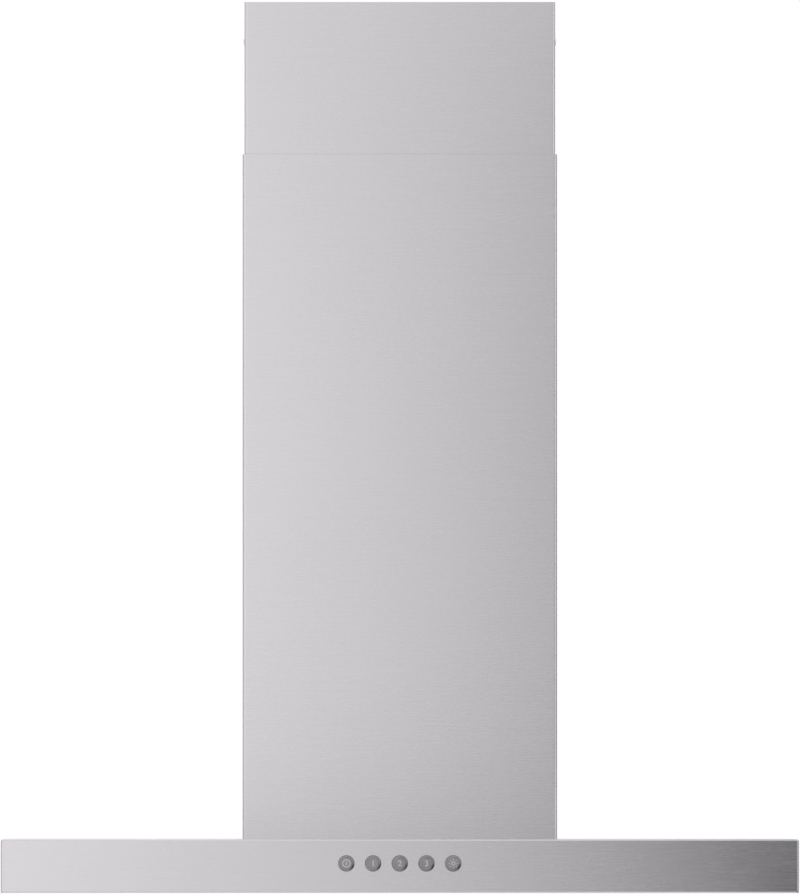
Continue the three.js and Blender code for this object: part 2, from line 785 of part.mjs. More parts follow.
function chimneyScrew(name, side) {
  const centre = [screwY, upperTop - sideScrewDrop];
  const reach = (a, b) => [Math.min(side * a, side * b), Math.max(side * a, side * b)];
  const head = bar("x", centre, sideScrewHeadRadius,
    reach(upperHalf, upperHalf + sideScrewHeadHeight), 20);
  const shank = bar("x", centre, smallScrewRadius, reach(upperHalf - 8, upperHalf + 0.5), 12);
  const slot = [
    block(reach(upperHalf + sideScrewHeadHeight - 0.6, upperHalf + sideScrewHeadHeight + 1),
      [centre[0] - 2, centre[0] + 2], [centre[1] - 0.4, centre[1] + 0.4]),
    block(reach(upperHalf + sideScrewHeadHeight - 0.6, upperHalf + sideScrewHeadHeight + 1),
      [centre[0] - 0.4, centre[0] + 0.4], [centre[1] - 2, centre[1] + 2]),
  ];
  return node(name, cut(join(head, shank), ...slot), zincSteel());
}

function chimney() {
  return groupAt(0, wallY, canopyHeight, lowerChimney(), upperChimney(), ceilingBracket(),
    chimneyScrew("chimney_screw_left", -1), chimneyScrew("chimney_screw_right", 1));
}

// ---------------------------------------------------------------- fan housing
// Its group also stands on the canopy's top at the wall.

const leadHole = { x: terminalBoxLeft + 9, z: terminalBoxRise + 25 };

function blowerHousing() {
  const outer = [[-housingHalf, housingHalf], [-housingDepth, 0], [0, housingHeight]];
  const inner = [
    [-housingHalf + housingSheet, housingHalf - housingSheet],
    [-housingDepth + housingSheet, -housingSheet],
    [housingSheet, housingInside],
  ];
  const intake = [[-intakeHalf, intakeHalf], [intakeFront, intakeBack], [-1, 2 * housingSheet]];
  let housing = cut(block(...outer), block(...inner), block(...intake));

  const outlet = shared(
    bar("z", [0, fanCentreY], collarInner - 0.5, [housingInside - 1, housingHeight + 1], 48),
    block([-scrollHalfWidth + scrollWall + 1, scrollHalfWidth - scrollWall - 1],
      [-housingDepth, 0], [housingInside - 2, housingHeight + 2]));
  housing = cut(housing, outlet);
  for (const side of [-1, 1]) {
    const x = (side * keyholeSpacing) / 2;
    const through = [-2 * housingSheet, 1];
    housing = cut(
      housing,
      bar("y", [keyholeHeight, x], keyholeRadius, through, 20),
      block([x - keyholeSlot / 2, x + keyholeSlot / 2], through,
        [keyholeHeight, keyholeHeight + 2.4 * keyholeRadius]),
      bar("z", [side * housingScrewX, housingScrewY], housingScrewRadius + air,
        [-1, 2 * housingSheet], 12));
  }
  housing = cut(housing, bar("y", [leadHole.z, leadHole.x], leadRadius + 1,
    [-housingDepth - 1, -housingDepth + 2 * housingSheet], 12));
  return node("blower_housing", housing, galvanisedSteel());
}

function housingScrew(name, side) {
  const at = [side * housingScrewX, housingScrewY];
  const head = bar("z", at, housingScrewHeadRadius, [-sheet - housingScrewHeadHeight, -sheet], 16);
  const shank = bar("z", at, housingScrewRadius, [-sheet - 1, 9], 12);
  return node(name, join(head, shank), zincSteel());
}

// ---------------------------------------------------------------- fan
// The fan's group has its origin on the fan's axis, which runs along x.

const tongueAngle = 60;
const sweep = 240;

function scrollOutline(offset, top) {
  const outline = [];
  const steps = 18;
  for (let i = 0; i <= steps; i++) {
    const turn = i / steps;
    const radius = scrollStart + scrollGrowth * turn + offset;
    const angle = THREE.MathUtils.degToRad(tongueAngle - sweep * turn);
    outline.push([radius * Math.cos(angle), radius * Math.sin(angle)]);
  }
  outline.push([-scrollEnd - offset, top], [collarInner - 1 + offset, top]);
  return outline;
}

function scrollHalf(name, side) {
  const top = housingInside - fanRise;
  const along = (a, b) => [Math.min(side * a, side * b), Math.max(side * a, side * b)];
  let half = prism("x", scrollOutline(scrollWall, top), along(0, scrollHalfWidth));
  half = cut(half, prism("x", scrollOutline(0, top + 1), along(-1, scrollHalfWidth - scrollWall)));
  const bell = bar("x", [0, 0], inletRadius + bellThickness,
    along(scrollHalfWidth - 1, scrollHalfWidth + bellReach), 28);
  const inlet = bar("x", [0, 0], inletRadius, along(scrollHalfWidth - 5, scrollHalfWidth + 9), 28);
  return node(name, cut(join(half, bell), inlet), darkPlastic());
}

function impeller() {
  const sides = 27;
  const span = [-impellerHalfWidth, impellerHalfWidth];
  const disc = bar("x", [0, 0], impellerRadius, [-discThickness / 2, discThickness / 2], sides);
  let wheel = join(disc, bar("x", [0, 0], hubRadius, [-hubHalfLength, hubHalfLength], 20));
  const rings = [span[0], span[1] - rimThickness].map((from) =>
    tubeOf("x", [0, 0], impellerRadius, impellerRadius - rimWidth, [from, from + rimThickness], sides));
  const inner = impellerRadius - bladeDepth;
  const outer = impellerRadius - 0.5;
  const lean = THREE.MathUtils.degToRad(9);
  const spot = (radius, angle) => [radius * Math.cos(angle), radius * Math.sin(angle)];
  const blades = [];
  for (let i = 0; i < bladeCount; i++) {
    const angle = (2 * Math.PI * i) / bladeCount;
    const half = bladeThickness / 2;
    const outline = [
      spot(inner, angle - half / inner),
      spot(outer, angle + lean - half / outer),
      spot(outer, angle + lean + half / outer),
      spot(inner, angle + half / inner),
    ];
    blades.push(prism("x", outline, span));
  }
  wheel = join(wheel, ...rings, ...blades);
  wheel = cut(wheel, bar("x", [0, 0], shaftRadius + shaftFit,
    [-impellerHalfWidth - 1, impellerHalfWidth + 1], 24));
  return node("impeller", wheel, paleGreyPlastic());
}

function motorShaft() {
  const shaft = bar("x", [0, 0], shaftRadius, [motorNose - shaftInMotor, hubHalfLength + shaftPastHub], 24);
  return node("motor_shaft", shaft, zincSteel());
}

function impellerNut() {
  const span = [hubHalfLength, hubHalfLength + shaftNutThickness];
  const nut = cut(bar("x", [0, 0], shaftNutRadius, span, 6),
    bar("x", [0, 0], shaftRadius + shaftFit, [span[0] - 1, span[1] + 1], 24));
  return node("impeller_nut", nut, zincSteel());
}

function motor() {
  const body = turnedPiece("x", [
    [0, motorBack],
    [motorBossRadius, motorBack],
    [motorBossRadius, motorBack + 2],
    [motorRadius - 4, motorBack + 2],
    [motorRadius, motorBack + 6],
    [motorRadius, motorNose - 6],
    [motorRadius - 4, motorNose - 2],
    [hubRadius, motorNose - 2],
    [hubRadius, motorNose],
    [shaftRadius + air, motorNose],
    [shaftRadius + air, motorNose - shaftInMotor - air],
    [0, motorNose - shaftInMotor - air],
  ], 24);
  return node("motor", body, motorPaint());
}

function motorBracket() {
  const plate = [-scrollHalfWidth - bellReach - armThickness, -scrollHalfWidth - bellReach];
  const footInner = inletRadius + bellThickness + 2;
  const footOuter = footInner + armFoot;
  let bracket = bar("x", [0, 0], motorBossRadius, [plate[0], motorBack], 28);
  for (const degrees of [90, 210, 330]) {
    const arm = join(
      block(plate, [-armWidth / 2, armWidth / 2], [motorBossRadius - 4, footOuter]),
      block([plate[0], -scrollHalfWidth], [-armWidth / 2, armWidth / 2], [footInner, footOuter]));
    bracket = join(bracket, arm.rotate([degrees - 90, 0, 0]));
  }
  return node("motor_bracket", bracket, galvanisedSteel());
}

function motorLead() {
  const exit = motorBossRadius + 10;
  const wallFace = -housingDepth / 2;
  const rise = leadHole.z - fanRise;
  const route = [
    [motorBack + 2 - air, -exit, 0],
    [motorBack - 8, -exit, 1],
    [leadHole.x + 2, -exit - 6, 8],
    [leadHole.x - 4, -exit - 20, 24],
    [leadHole.x - 2, wallFace + 22, rise - 16],
    [leadHole.x, wallFace + 12, rise - 1],
    [leadHole.x, wallFace + 2, rise],
    [leadHole.x, wallFace - 7, rise],
  ];
  return node("motor_lead", cable(route, leadRadius, 22), cableJacket());
}

// ---------------------------------------------------------------- duct collar
// The collar's group stands on the housing's top at the duct's axis.

function ductCollar() {
  const sides = 36;
  const base = [0, collarFlangeThickness];
  const pinHole = bar("x", [0, damperAxis], damperPinRadius + air,
    [-collarOuter - 1, collarOuter + 1], 12);
  const collar = join(
    tubeOf("z", [0, 0], collarOuter + collarFlange, collarInner, base, sides),
    tubeOf("z", [0, 0], collarOuter, collarInner, [0, collarHeight], sides),
    tubeOf("z", [0, 0], collarInner + 1, collarInner - stopLip,
      [stopHeight, stopHeight + stopThickness], sides));
  return node("duct_collar", cut(collar, pinHole), darkPlastic());
}

function damperPin() {
  const pin = bar("x", [0, damperAxis], damperPinRadius, [-collarOuter, collarOuter], 12);
  return node("damper_pin", pin, zincSteel());
}

// side is -1 for the flap in front of the pin and 1 for the one behind it.
function damperFlap(name, side) {
  const radius = collarInner - flapRimGap;
  const edge = knuckleRadius + 0.4;
  const slab = [damperAxis - flapThickness / 2, damperAxis + flapThickness / 2];
  const span = (a, b) => [Math.min(side * a, side * b), Math.max(side * a, side * b)];
  const beyond = block([-radius - 1, radius + 1], span(edge, radius + 1), [0, collarHeight]);
  let flap = shared(bar("z", [0, 0], radius, slab, 36), beyond);
  const places = side < 0 ? frontKnuckles : rearKnuckles;
  for (const x of places) {
    const along = [x - knuckleHalfLength, x + knuckleHalfLength];
    flap = join(
      flap,
      bar("x", [0, damperAxis], knuckleRadius, along, 16),
      block(along, span(knuckleRadius - 1, edge + 1), slab));
    flap = cut(flap, bar("x", [0, damperAxis], knuckleBore, [along[0] - 1, along[1] + 1], 16));
  }
  return node(name, flap, darkPlastic());
}

function duct() {
  return groupAt(0, fanCentreY, housingHeight, ductCollar(), damperPin(),
    damperFlap("damper_flap_front", -1), damperFlap("damper_flap_rear", 1));
}

// ---------------------------------------------------------------- electronics
// Their group has its origin on the housing's front face at the canopy's top, so y < 0.

const boxX = [terminalBoxLeft, terminalBoxLeft + terminalBoxSize[0]];
const boxZ = [terminalBoxRise, terminalBoxRise + terminalBoxSize[2]];
const glandX = terminalBoxLeft + terminalBoxSize[0] / 2;
const boxMidY = -terminalBoxSize[1] / 2;
const switchLeadY = boxMidY;

function terminalBox() {
  const depth = terminalBoxSize[1];
  const inner = [
    [boxX[0] + terminalWall, boxX[1] - terminalWall],
    [-depth - 1, -terminalWall],
    [boxZ[0] + terminalWall, boxZ[1] - terminalWall],
  ];
  const box = cut(
    block(boxX, [-depth, 0], boxZ),
    block(...inner),
    bar("z", [glandX, boxMidY], glandBore + 1, [boxZ[1] - terminalWall - 1, boxZ[1] + 1], 16),
    bar("z", [switchLeadX, switchLeadY], leadRadius + 0.8,
      [boxZ[0] - 1, boxZ[0] + terminalWall + 1], 12),
    bar("y", [leadHole.z, leadHole.x], leadRadius + 1, [-terminalWall - 1, 1], 12));
  return node("terminal_box", box, paleGreyPlastic());
}

function terminalLid() {
  const front = -terminalBoxSize[1] - lidThickness;
  const inset = terminalWall + air;
  const lid = join(
    block(boxX, [front, front + lidThickness], boxZ),
    block([boxX[0] + inset, boxX[1] - inset], [front + 1, front + lidThickness + 2],
      [boxZ[0] + inset, boxZ[1] - inset]));
  return node("terminal_lid", lid, paleGreyPlastic());
}

function controlBoard() {
  const back = -terminalWall;
  const x = [boxX[0] + 18, boxX[1] - 6];
  const z = [boxZ[0] + 14, boxZ[1] - 12];
  const board = join(
    block(x, [back - boardThickness, back], z),
    block([x[0] + 6, x[0] + 22], [back - 14, back - 1], [z[0] + 6, z[0] + 24]),
    block([x[1] - 26, x[1] - 6], [back - 10, back - 1], [z[1] - 12, z[1] - 3]));
  return node("control_board", board, circuitGreen());
}

function cableGland() {
  const hexagon = bar("z", [glandX, boxMidY], glandRadius, [boxZ[1], boxZ[1] + glandNutHeight], 6);
  const dome = bar("z", [glandX, boxMidY], glandRadius - 2,
    [boxZ[1] + glandNutHeight - 1, boxZ[1] + glandHeight], 20);
  const bore = bar("z", [glandX, boxMidY], glandBore, [boxZ[1] - 1, boxZ[1] + glandHeight + 1], 16);
  return node("cable_gland", cut(join(hexagon, dome), bore), darkPlastic());
}

const capacitorY = -capacitorRadius - clipWall - 2 * air;

function capacitor() {
  const z = [terminalBoxRise, terminalBoxRise + capacitorLength];
  const body = join(
    bar("z", [capacitorX, capacitorY], capacitorRadius, z, 28),
    bar("z", [capacitorX, capacitorY], capacitorRadius - 4, [z[0] + 1, z[1] + 2], 28),
    block([capacitorX - 6, capacitorX - 3], [capacitorY - 1, capacitorY + 1], [z[1] + 1, z[1] + 9]),
    block([capacitorX + 3, capacitorX + 6], [capacitorY - 1, capacitorY + 1], [z[1] + 1, z[1] + 9]));
  return node("capacitor", body, aluminium());
}

function capacitorClip() {
  const z = [terminalBoxRise + capacitorLength * 0.4, terminalBoxRise + capacitorLength * 0.6];
  const inner = capacitorRadius + air;
  const ring = bar("z", [capacitorX, capacitorY], inner + clipWall, z, 28);
  const base = block([capacitorX - inner - 8, capacitorX + inner + 8], [-clipWall, 0], z);
  const hole = bar("z", [capacitorX, capacitorY], inner, [z[0] - 1, z[1] + 1], 28);
  return node("capacitor_clip", cut(join(ring, base), hole), galvanisedSteel());
}

function electronics() {
  return groupAt(0, wallY - housingDepth, canopyHeight, terminalBox(), terminalLid(),
    controlBoard(), cableGland(), capacitor(), capacitorClip());
}

// From the switch board, over the lamp strip and filters, up through the canopy to the box.
function switchLead() {
  const start = fasciaY + switchFront + switchDepth + boardThickness + 6 + air;
  const level = canopyHeight - sheet - leadRadius - 4;
  const boxY = wallY - housingDepth + switchLeadY;
  const boxBottom = canopyHeight + terminalBoxRise;
  const route = [
    [switchLeadX, start, buttonHeight + 2.5],
    [switchLeadX, start + 8, buttonHeight + 3],
    [switchLeadX, start + 26, level],
    [switchLeadX, start + 60, level],
    [switchLeadX, (start + switchLeadHoleY) / 2, level],
    [switchLeadX, switchLeadHoleY - 40, level],
    [switchLeadX, switchLeadHoleY - 14, level],
    [switchLeadX, switchLeadHoleY - 3, level + 4],
    [switchLeadX, switchLeadHoleY + 1, canopyHeight + 6],
    [switchLeadX, boxY - 4, canopyHeight + 30],
    [switchLeadX, boxY, boxBottom - 40],
    [switchLeadX, boxY, boxBottom - 8],
    [switchLeadX, boxY, boxBottom + terminalWall + 6],
  ];
  return node("switch_lead", cable(route, leadRadius, 34), cableJacket());
}

function blower() {
  const fan = groupAt(0, fanCentreY, fanRise, scrollHalf("scroll_left", -1),
    scrollHalf("scroll_right", 1), impeller(), motorShaft(), impellerNut(), motor(),
    motorBracket(), motorLead());
  return groupAt(0, wallY, canopyHeight, blowerHousing(), housingScrew("housing_screw_left", -1),
    housingScrew("housing_screw_right", 1), fan, duct());
}

// ---------------------------------------------------------------- assembly

const hood = new THREE.Group();
hood.name = "chimney_range_hood";
hood.add(canopyShell(), innerPanel(), controls(), lamps(), greaseFilters(), blower(),
  electronics(), switchLead(), chimney());

export default hood;
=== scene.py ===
import json
import math

import bmesh
import bpy
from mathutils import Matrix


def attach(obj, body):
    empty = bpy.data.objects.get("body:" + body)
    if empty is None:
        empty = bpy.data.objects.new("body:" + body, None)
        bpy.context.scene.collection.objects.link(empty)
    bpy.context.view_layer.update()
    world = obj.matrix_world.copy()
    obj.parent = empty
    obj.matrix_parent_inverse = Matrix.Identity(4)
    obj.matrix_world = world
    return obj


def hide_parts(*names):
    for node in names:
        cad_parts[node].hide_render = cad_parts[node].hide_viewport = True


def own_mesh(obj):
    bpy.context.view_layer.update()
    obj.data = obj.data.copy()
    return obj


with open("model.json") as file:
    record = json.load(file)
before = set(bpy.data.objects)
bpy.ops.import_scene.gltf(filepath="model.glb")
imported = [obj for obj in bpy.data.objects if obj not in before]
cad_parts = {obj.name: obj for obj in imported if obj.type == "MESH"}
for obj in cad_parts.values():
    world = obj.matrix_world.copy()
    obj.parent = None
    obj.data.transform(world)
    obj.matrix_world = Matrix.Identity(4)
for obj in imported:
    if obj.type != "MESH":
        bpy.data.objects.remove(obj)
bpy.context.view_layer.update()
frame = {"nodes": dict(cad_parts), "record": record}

MM = 0.001

# ---- modelling by hand
# Places and sizes in the calls below are in millimetres. A box is its limits along x, y and z.

LIE = {"x": (0, math.pi / 2, 0), "y": (-math.pi / 2, 0, 0), "z": (0, 0, 0)}  # turns z to an axis
STRAIGHT = 0.9  # least part along an axis of a direction that counts as along it


def deselect():
    bpy.ops.object.select_all(action="DESELECT")


def select_only(piece):
    deselect()
    piece.select_set(True)
    bpy.context.view_layer.objects.active = piece


def settle(name):
    """Names the active piece and applies its place, turn and scale."""
    piece = bpy.context.active_object
    piece.name = piece.data.name = name
    bpy.ops.object.transform_apply(location=True, rotation=True, scale=True)
    return piece


def put(piece, place, turn=(0, 0, 0)):
    """Turns a piece about the frame's origin and moves it."""
    select_only(piece)
    piece.rotation_euler = turn
    piece.location = [v * MM for v in place]
    return settle(piece.name)


def block(name, x, y, z):
    deselect()
    centre = [(low + high) / 2 * MM for low, high in (x, y, z)]
    size = [(high - low) * MM for low, high in (x, y, z)]
    bpy.ops.mesh.primitive_cube_add(size=1, location=centre, scale=size)
    return settle(name)


def rod(name, axis, start, radius, length, sides):
    """A round bar from the middle of its first face along the axis."""
    deselect()
    centre = [v * MM for v in start]
    centre["xyz".index(axis)] += length / 2 * MM
    bpy.ops.mesh.primitive_cylinder_add(
        vertices=sides, radius=radius * MM, depth=length * MM, location=centre, rotation=LIE[axis])
    return settle(name)


def turned(name, axis, place, profile, sides):
    """A lathe-turned piece; its profile lists (radius, distance along the axis)."""
    ring = profile[0] == profile[-1]
    deselect()
    radius, along = profile[0]
    bpy.ops.mesh.primitive_circle_add(
        vertices=sides, radius=radius * MM, fill_type="NOTHING" if ring else "NGON",
        location=(0, 0, along * MM))
    shape(bpy.context.active_object)
    bpy.ops.mesh.select_mode(type="VERT")
    pick_all()
    for next_radius, next_along in profile[1:]:
        bpy.ops.mesh.extrude_region_move(
            TRANSFORM_OT_translate={"value": (0, 0, (next_along - along) * MM)})
        factor = next_radius / radius
        bpy.ops.transform.resize(value=(factor, factor, 1), center_override=(0, 0, next_along * MM))
        radius, along = next_radius, next_along
    pick_all()
    bpy.ops.mesh.remove_doubles(threshold=0.01 * MM)
    bpy.ops.mesh.normals_make_consistent(inside=False)
    done()
    return put(settle(name), place, LIE[axis])


def shape(piece):
    select_only(piece)
    bpy.ops.object.mode_set(mode="EDIT")
    bpy.ops.mesh.select_all(action="DESELECT")


def done():
    bpy.ops.object.mode_set(mode="OBJECT")


def pick_all():
    bpy.ops.mesh.select_all(action="SELECT")


def pick_faces(piece, test):
    """Selects the faces whose middle, in millimetres, and normal pass the test."""
    bpy.ops.mesh.select_mode(type="FACE")
    bpy.ops.mesh.select_all(action="DESELECT")
    mesh = bmesh.from_edit_mesh(piece.data)
    for face in mesh.faces:
        face.select_set(bool(test(face.calc_center_median() / MM, face.normal)))
    mesh.select_flush_mode()
    bmesh.update_edit_mesh(piece.data)


def pick_edges(piece, test):
    """Selects the edges whose middle, in millimetres, and direction pass the test."""
    bpy.ops.mesh.select_mode(type="EDGE")
    bpy.ops.mesh.select_all(action="DESELECT")
    mesh = bmesh.from_edit_mesh(piece.data)
    for edge in mesh.edges:
        one, other = (corner.co / MM for corner in edge.verts)
        edge.select_set(bool(test((one + other) / 2, (other - one).normalized())))
    mesh.select_flush_mode()
    bmesh.update_edit_mesh(piece.data)


def fold(width, segments=3):
    """Rounds the selected edges."""
    bpy.ops.mesh.bevel(offset=width * MM, segments=segments, profile=0.5, affect="EDGES")


def round_edges(piece, test, radius, segments=3):
    shape(piece)
    pick_edges(piece, test)
    fold(radius, segments)
    done()


def divide_faces(piece, test, cuts):
    """Draws lines across the faces that pass the test; cuts lists (axis, place)."""
    for axis, place in cuts:
        index = "xyz".index(axis)
        pick_faces(piece, test)
        point = [0, 0, 0]
        point[index] = place * MM
        bpy.ops.mesh.bisect(plane_co=point, plane_no=[float(i == index) for i in range(3)])


def modify(piece, kind, **settings):
    select_only(piece)
    modifier = piece.modifiers.new(kind.lower(), kind)
    for key, value in settings.items():
        setattr(modifier, key, value)
    bpy.ops.object.modifier_apply(modifier=modifier.name)


def thicken(piece, wall):
    modify(piece, "SOLIDIFY", thickness=wall * MM, offset=-1, use_even_offset=True)


def ease(piece, width):
    modify(piece, "BEVEL", width=width * MM, segments=2, limit_method="ANGLE",
           angle_limit=math.radians(30))


def pierce(piece, *tools):
    for tool in tools:
        modify(piece, "BOOLEAN", operation="DIFFERENCE", object=tool, solver="EXACT")
        bpy.data.objects.remove(tool)


def weld(name, *parts):
    """Joins parts into one piece without cutting them."""
    select_only(parts[0])
    for part in parts:
        part.select_set(True)
    bpy.ops.object.join()
    return settle(name)


def twin(piece, name, move):
    select_only(piece)
    bpy.ops.object.duplicate()
    bpy.ops.transform.translate(value=[v * MM for v in move])
    return settle(name)


def finish_piece(piece, body, material, solid=None, angle=30):
    """Gives a piece its finish, its shading and its place in the frame."""
    piece.data.materials.clear()
    piece.data.materials.append(material)
    select_only(piece)
    bpy.ops.object.shade_smooth_by_angle(angle=math.radians(angle))
    modify(piece, "WEIGHTED_NORMAL", keep_sharp=True, weight=100)
    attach(piece, body)
    if solid:
        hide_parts(solid)


# ---- sizes from the frame


def extent(node):
    """The box of one of the frame's solids."""
    corners = [corner.co / MM for corner in frame["nodes"][node].data.vertices]
    return [(round(min(places), 2), round(max(places), 2)) for places in zip(*corners)]


def middle(node):
    return [(low + high) / 2 for low, high in extent(node)]


def within(box, margin):
    """A box that is smaller by the margin on every side."""
    return [(low + margin, high - margin) for low, high in box]


def around(centre, half):
    return (centre - half, centre + half)


SHEET = 0.8  # of the canopy, the underside panel and both covers
CANOPY = extent("canopy_shell")
CANOPY_SIDE, WALL, CANOPY_TOP = (high for low, high in CANOPY)
FASCIA = CANOPY[1][0]
HOUSING = extent("blower_housing")
LOWER_COVER = extent("lower_chimney")
UPPER_COVER = extent("upper_chimney")
PANEL = extent("inner_panel")

# ---- node building


def srgb(red, green, blue):
    """A colour as it shows on the screen, 0 to 255, for a shader socket."""
    linear = [v / 12.92 if v <= 0.04045 else ((v + 0.055) / 1.055) ** 2.4
              for v in (red / 255, green / 255, blue / 255)]
    return (*linear, 1)


def add(tree, kind, inputs=None, **settings):
    node = tree.nodes.new("ShaderNode" + kind)
    for key, value in settings.items():
        setattr(node, key, value)
    for key, value in (inputs or {}).items():
        if isinstance(value, bpy.types.NodeSocket):
            tree.links.new(value, node.inputs[key])
        else:
            node.inputs[key].default_value = value
    return node


WHITE = (1.0, 1.0, 1.0, 1.0)


def calc(tree, operation, *values):
    return add(tree, "Math", dict(enumerate(values)), operation=operation).outputs[0]


def times(tree, one, other):
    return calc(tree, "MULTIPLY", one, other)


def spot_on(tree):
    """The place on the piece, in metres."""
    return add(tree, "TexCoord").outputs["Object"]


def mix(tree, factor, one, other, blend="MIX"):
    node = add(tree, "Mix", {0: factor, 6: one, 7: other}, data_type="RGBA", blend_type=blend)
    return node.outputs[2]


def spread(tree, value, low, high, new_low=0.0, new_high=1.0):
    """Maps a value from one range to another, and no further."""
    node = add(tree, "MapRange", {0: value, 1: low, 2: high, 3: new_low, 4: new_high})
    return node.outputs[0]


def new_group(name, inputs, *outputs):
    """A shader group of numbers; inputs maps each name to its usual value."""
    tree = bpy.data.node_groups.new(name, "ShaderNodeTree")
    for label, value in inputs.items():
        socket = tree.interface.new_socket(label, in_out="INPUT", socket_type="NodeSocketFloat")
        socket.default_value = value
    for label in outputs:
        tree.interface.new_socket(label, in_out="OUTPUT", socket_type="NodeSocketFloat")
    return tree, tree.nodes.new("NodeGroupInput").outputs, tree.nodes.new("NodeGroupOutput").inputs


def effect(tree, group, **inputs):
    return add(tree, "Group", inputs, node_tree=group).outputs


# ---- shared effects
# Widths, lengths and sizes are in millimetres.

PER_METRE = 1000.0


def make_brushed_lines():
    """Fine lines, level on upright faces and across the hood on flat ones."""
    tree, given, out = new_group(
        "brushed_lines", {"Width": 0.4, "Length": 40.0, "Shift": 0.0}, "Lines")
    place = add(tree, "TexCoord").outputs
    spot = add(tree, "SeparateXYZ", {0: place["Object"]}).outputs
    facing = add(tree, "SeparateXYZ", {0: place["Normal"]}).outputs
    flat = calc(tree, "GREATER_THAN", calc(tree, "ABSOLUTE", facing["Z"]), 0.7)
    upright = calc(tree, "SUBTRACT", 1.0, flat)
    across = calc(tree, "ADD", times(tree, spot["Y"], flat), times(tree, spot["Z"], upright))
    along = calc(tree, "ADD", spot["X"], times(tree, spot["Y"], upright))
    u = calc(tree, "DIVIDE", times(tree, along, PER_METRE), given["Length"])
    v = calc(tree, "DIVIDE", times(tree, across, PER_METRE), given["Width"])
    at = add(tree, "CombineXYZ", {0: u, 1: v, 2: given["Shift"]}).outputs[0]
    noise = add(tree, "TexNoise",
                {"Vector": at, "Scale": 1.0, "Detail": 1.0, "Roughness": 0.5}, noise_dimensions="3D")
    tree.links.new(noise.outputs[0], out["Lines"])
    return tree


def make_blotches():
    """Soft patches, as from handling and cleaning."""
    tree, given, out = new_group("blotches", {"Size": 60.0, "Shift": 0.0}, "Patch")
    place = spot_on(tree)
    at = add(tree, "VectorMath", {0: place, 1: given["Shift"]}, operation="ADD").outputs[0]
    scale = calc(tree, "DIVIDE", PER_METRE, given["Size"])
    noise = add(tree, "TexNoise", {"Vector": at, "Scale": scale, "Detail": 3.0})
    tree.links.new(spread(tree, noise.outputs[0], 0.35, 0.65), out["Patch"])
    return tree


def make_worn_edges():
    """A mask that is 1 on outer edges, broken up as real wear is."""
    tree, given, out = new_group("worn_edges", {"Width": 0.6}, "Edge")
    radius = times(tree, given["Width"], MM)
    soft = add(tree, "Bevel", {"Radius": radius}, samples=4).outputs[0]
    true = add(tree, "NewGeometry").outputs["Normal"]
    same = add(tree, "VectorMath", {0: soft, 1: true}, operation="DOT_PRODUCT").outputs["Value"]
    edge = spread(tree, same, 0.995, 0.9)
    place = spot_on(tree)
    noise = add(tree, "TexNoise", {"Vector": place, "Scale": 160.0, "Detail": 3.0}).outputs[0]
    worn = times(tree, edge, spread(tree, noise, 0.3, 0.6))
    tree.links.new(worn, out["Edge"])
    return tree


def make_fine_grain():
    """Spark-eroded mould texture or cast skin."""
    tree, given, out = new_group("fine_grain", {"Size": 0.4}, "Grain")
    place = spot_on(tree)
    scale = calc(tree, "DIVIDE", PER_METRE, given["Size"])
    noise = add(tree, "TexNoise", {"Vector": place, "Scale": scale, "Detail": 2.0})
    tree.links.new(noise.outputs[0], out["Grain"])
    return tree


def make_spangle():
    """The crystal pattern of hot-dip zinc."""
    tree, given, out = new_group("spangle", {"Size": 9.0}, "Tone", "Border")
    place = spot_on(tree)
    wobble = add(tree, "TexNoise", {"Vector": place, "Scale": 90.0, "Detail": 2.0}).outputs[1]
    bent = add(tree, "Mix", {0: 0.006, 4: place, 5: wobble}, data_type="VECTOR").outputs[1]
    scale = calc(tree, "DIVIDE", PER_METRE, given["Size"])
    cells = add(tree, "TexVoronoi", {"Vector": bent, "Scale": scale})
    tone = add(tree, "SeparateColor", {0: cells.outputs["Color"]}).outputs[0]
    rim = add(tree, "TexVoronoi", {"Vector": bent, "Scale": scale}, feature="DISTANCE_TO_EDGE")
    tree.links.new(tone, out["Tone"])
    tree.links.new(spread(tree, rim.outputs["Distance"], 0.05, 0.0), out["Border"])
    return tree


BRUSHED_LINES = make_brushed_lines()
BLOTCHES = make_blotches()
WORN_EDGES = make_worn_edges()
FINE_GRAIN = make_fine_grain()
SPANGLE = make_spangle()

# ---- materials


def new_material(name, **plain):
    """A material and its Principled shader, with its plain values."""
    material = bpy.data.materials.new(name)
    material.use_nodes = True
    tree = material.node_tree
    shader = tree.nodes["Principled BSDF"]
    for key, value in plain.items():
        shader.inputs[key.replace("_", " ")].default_value = value
    return material, tree, shader


def tint(tree, colour, value, low, high):
    """The colour times a factor that runs from low to high with the value."""
    factor = spread(tree, value, 0.0, 1.0, low, high)
    grey = add(tree, "CombineColor", {0: factor, 1: factor, 2: factor}).outputs[0]
    return mix(tree, 1.0, colour, grey, "MULTIPLY")


def dress(tree, shader, shade, rough):
    tree.links.new(shade, shader.inputs["Base Color"])
    tree.links.new(rough, shader.inputs["Roughness"])


def bump(tree, shader, height, distance, strength=1.0):
    """Relief in the material; the distance is in millimetres."""
    node = add(tree, "Bump", {"Strength": strength, "Distance": distance * MM, "Height": height})
    tree.links.new(node.outputs[0], shader.inputs["Normal"])


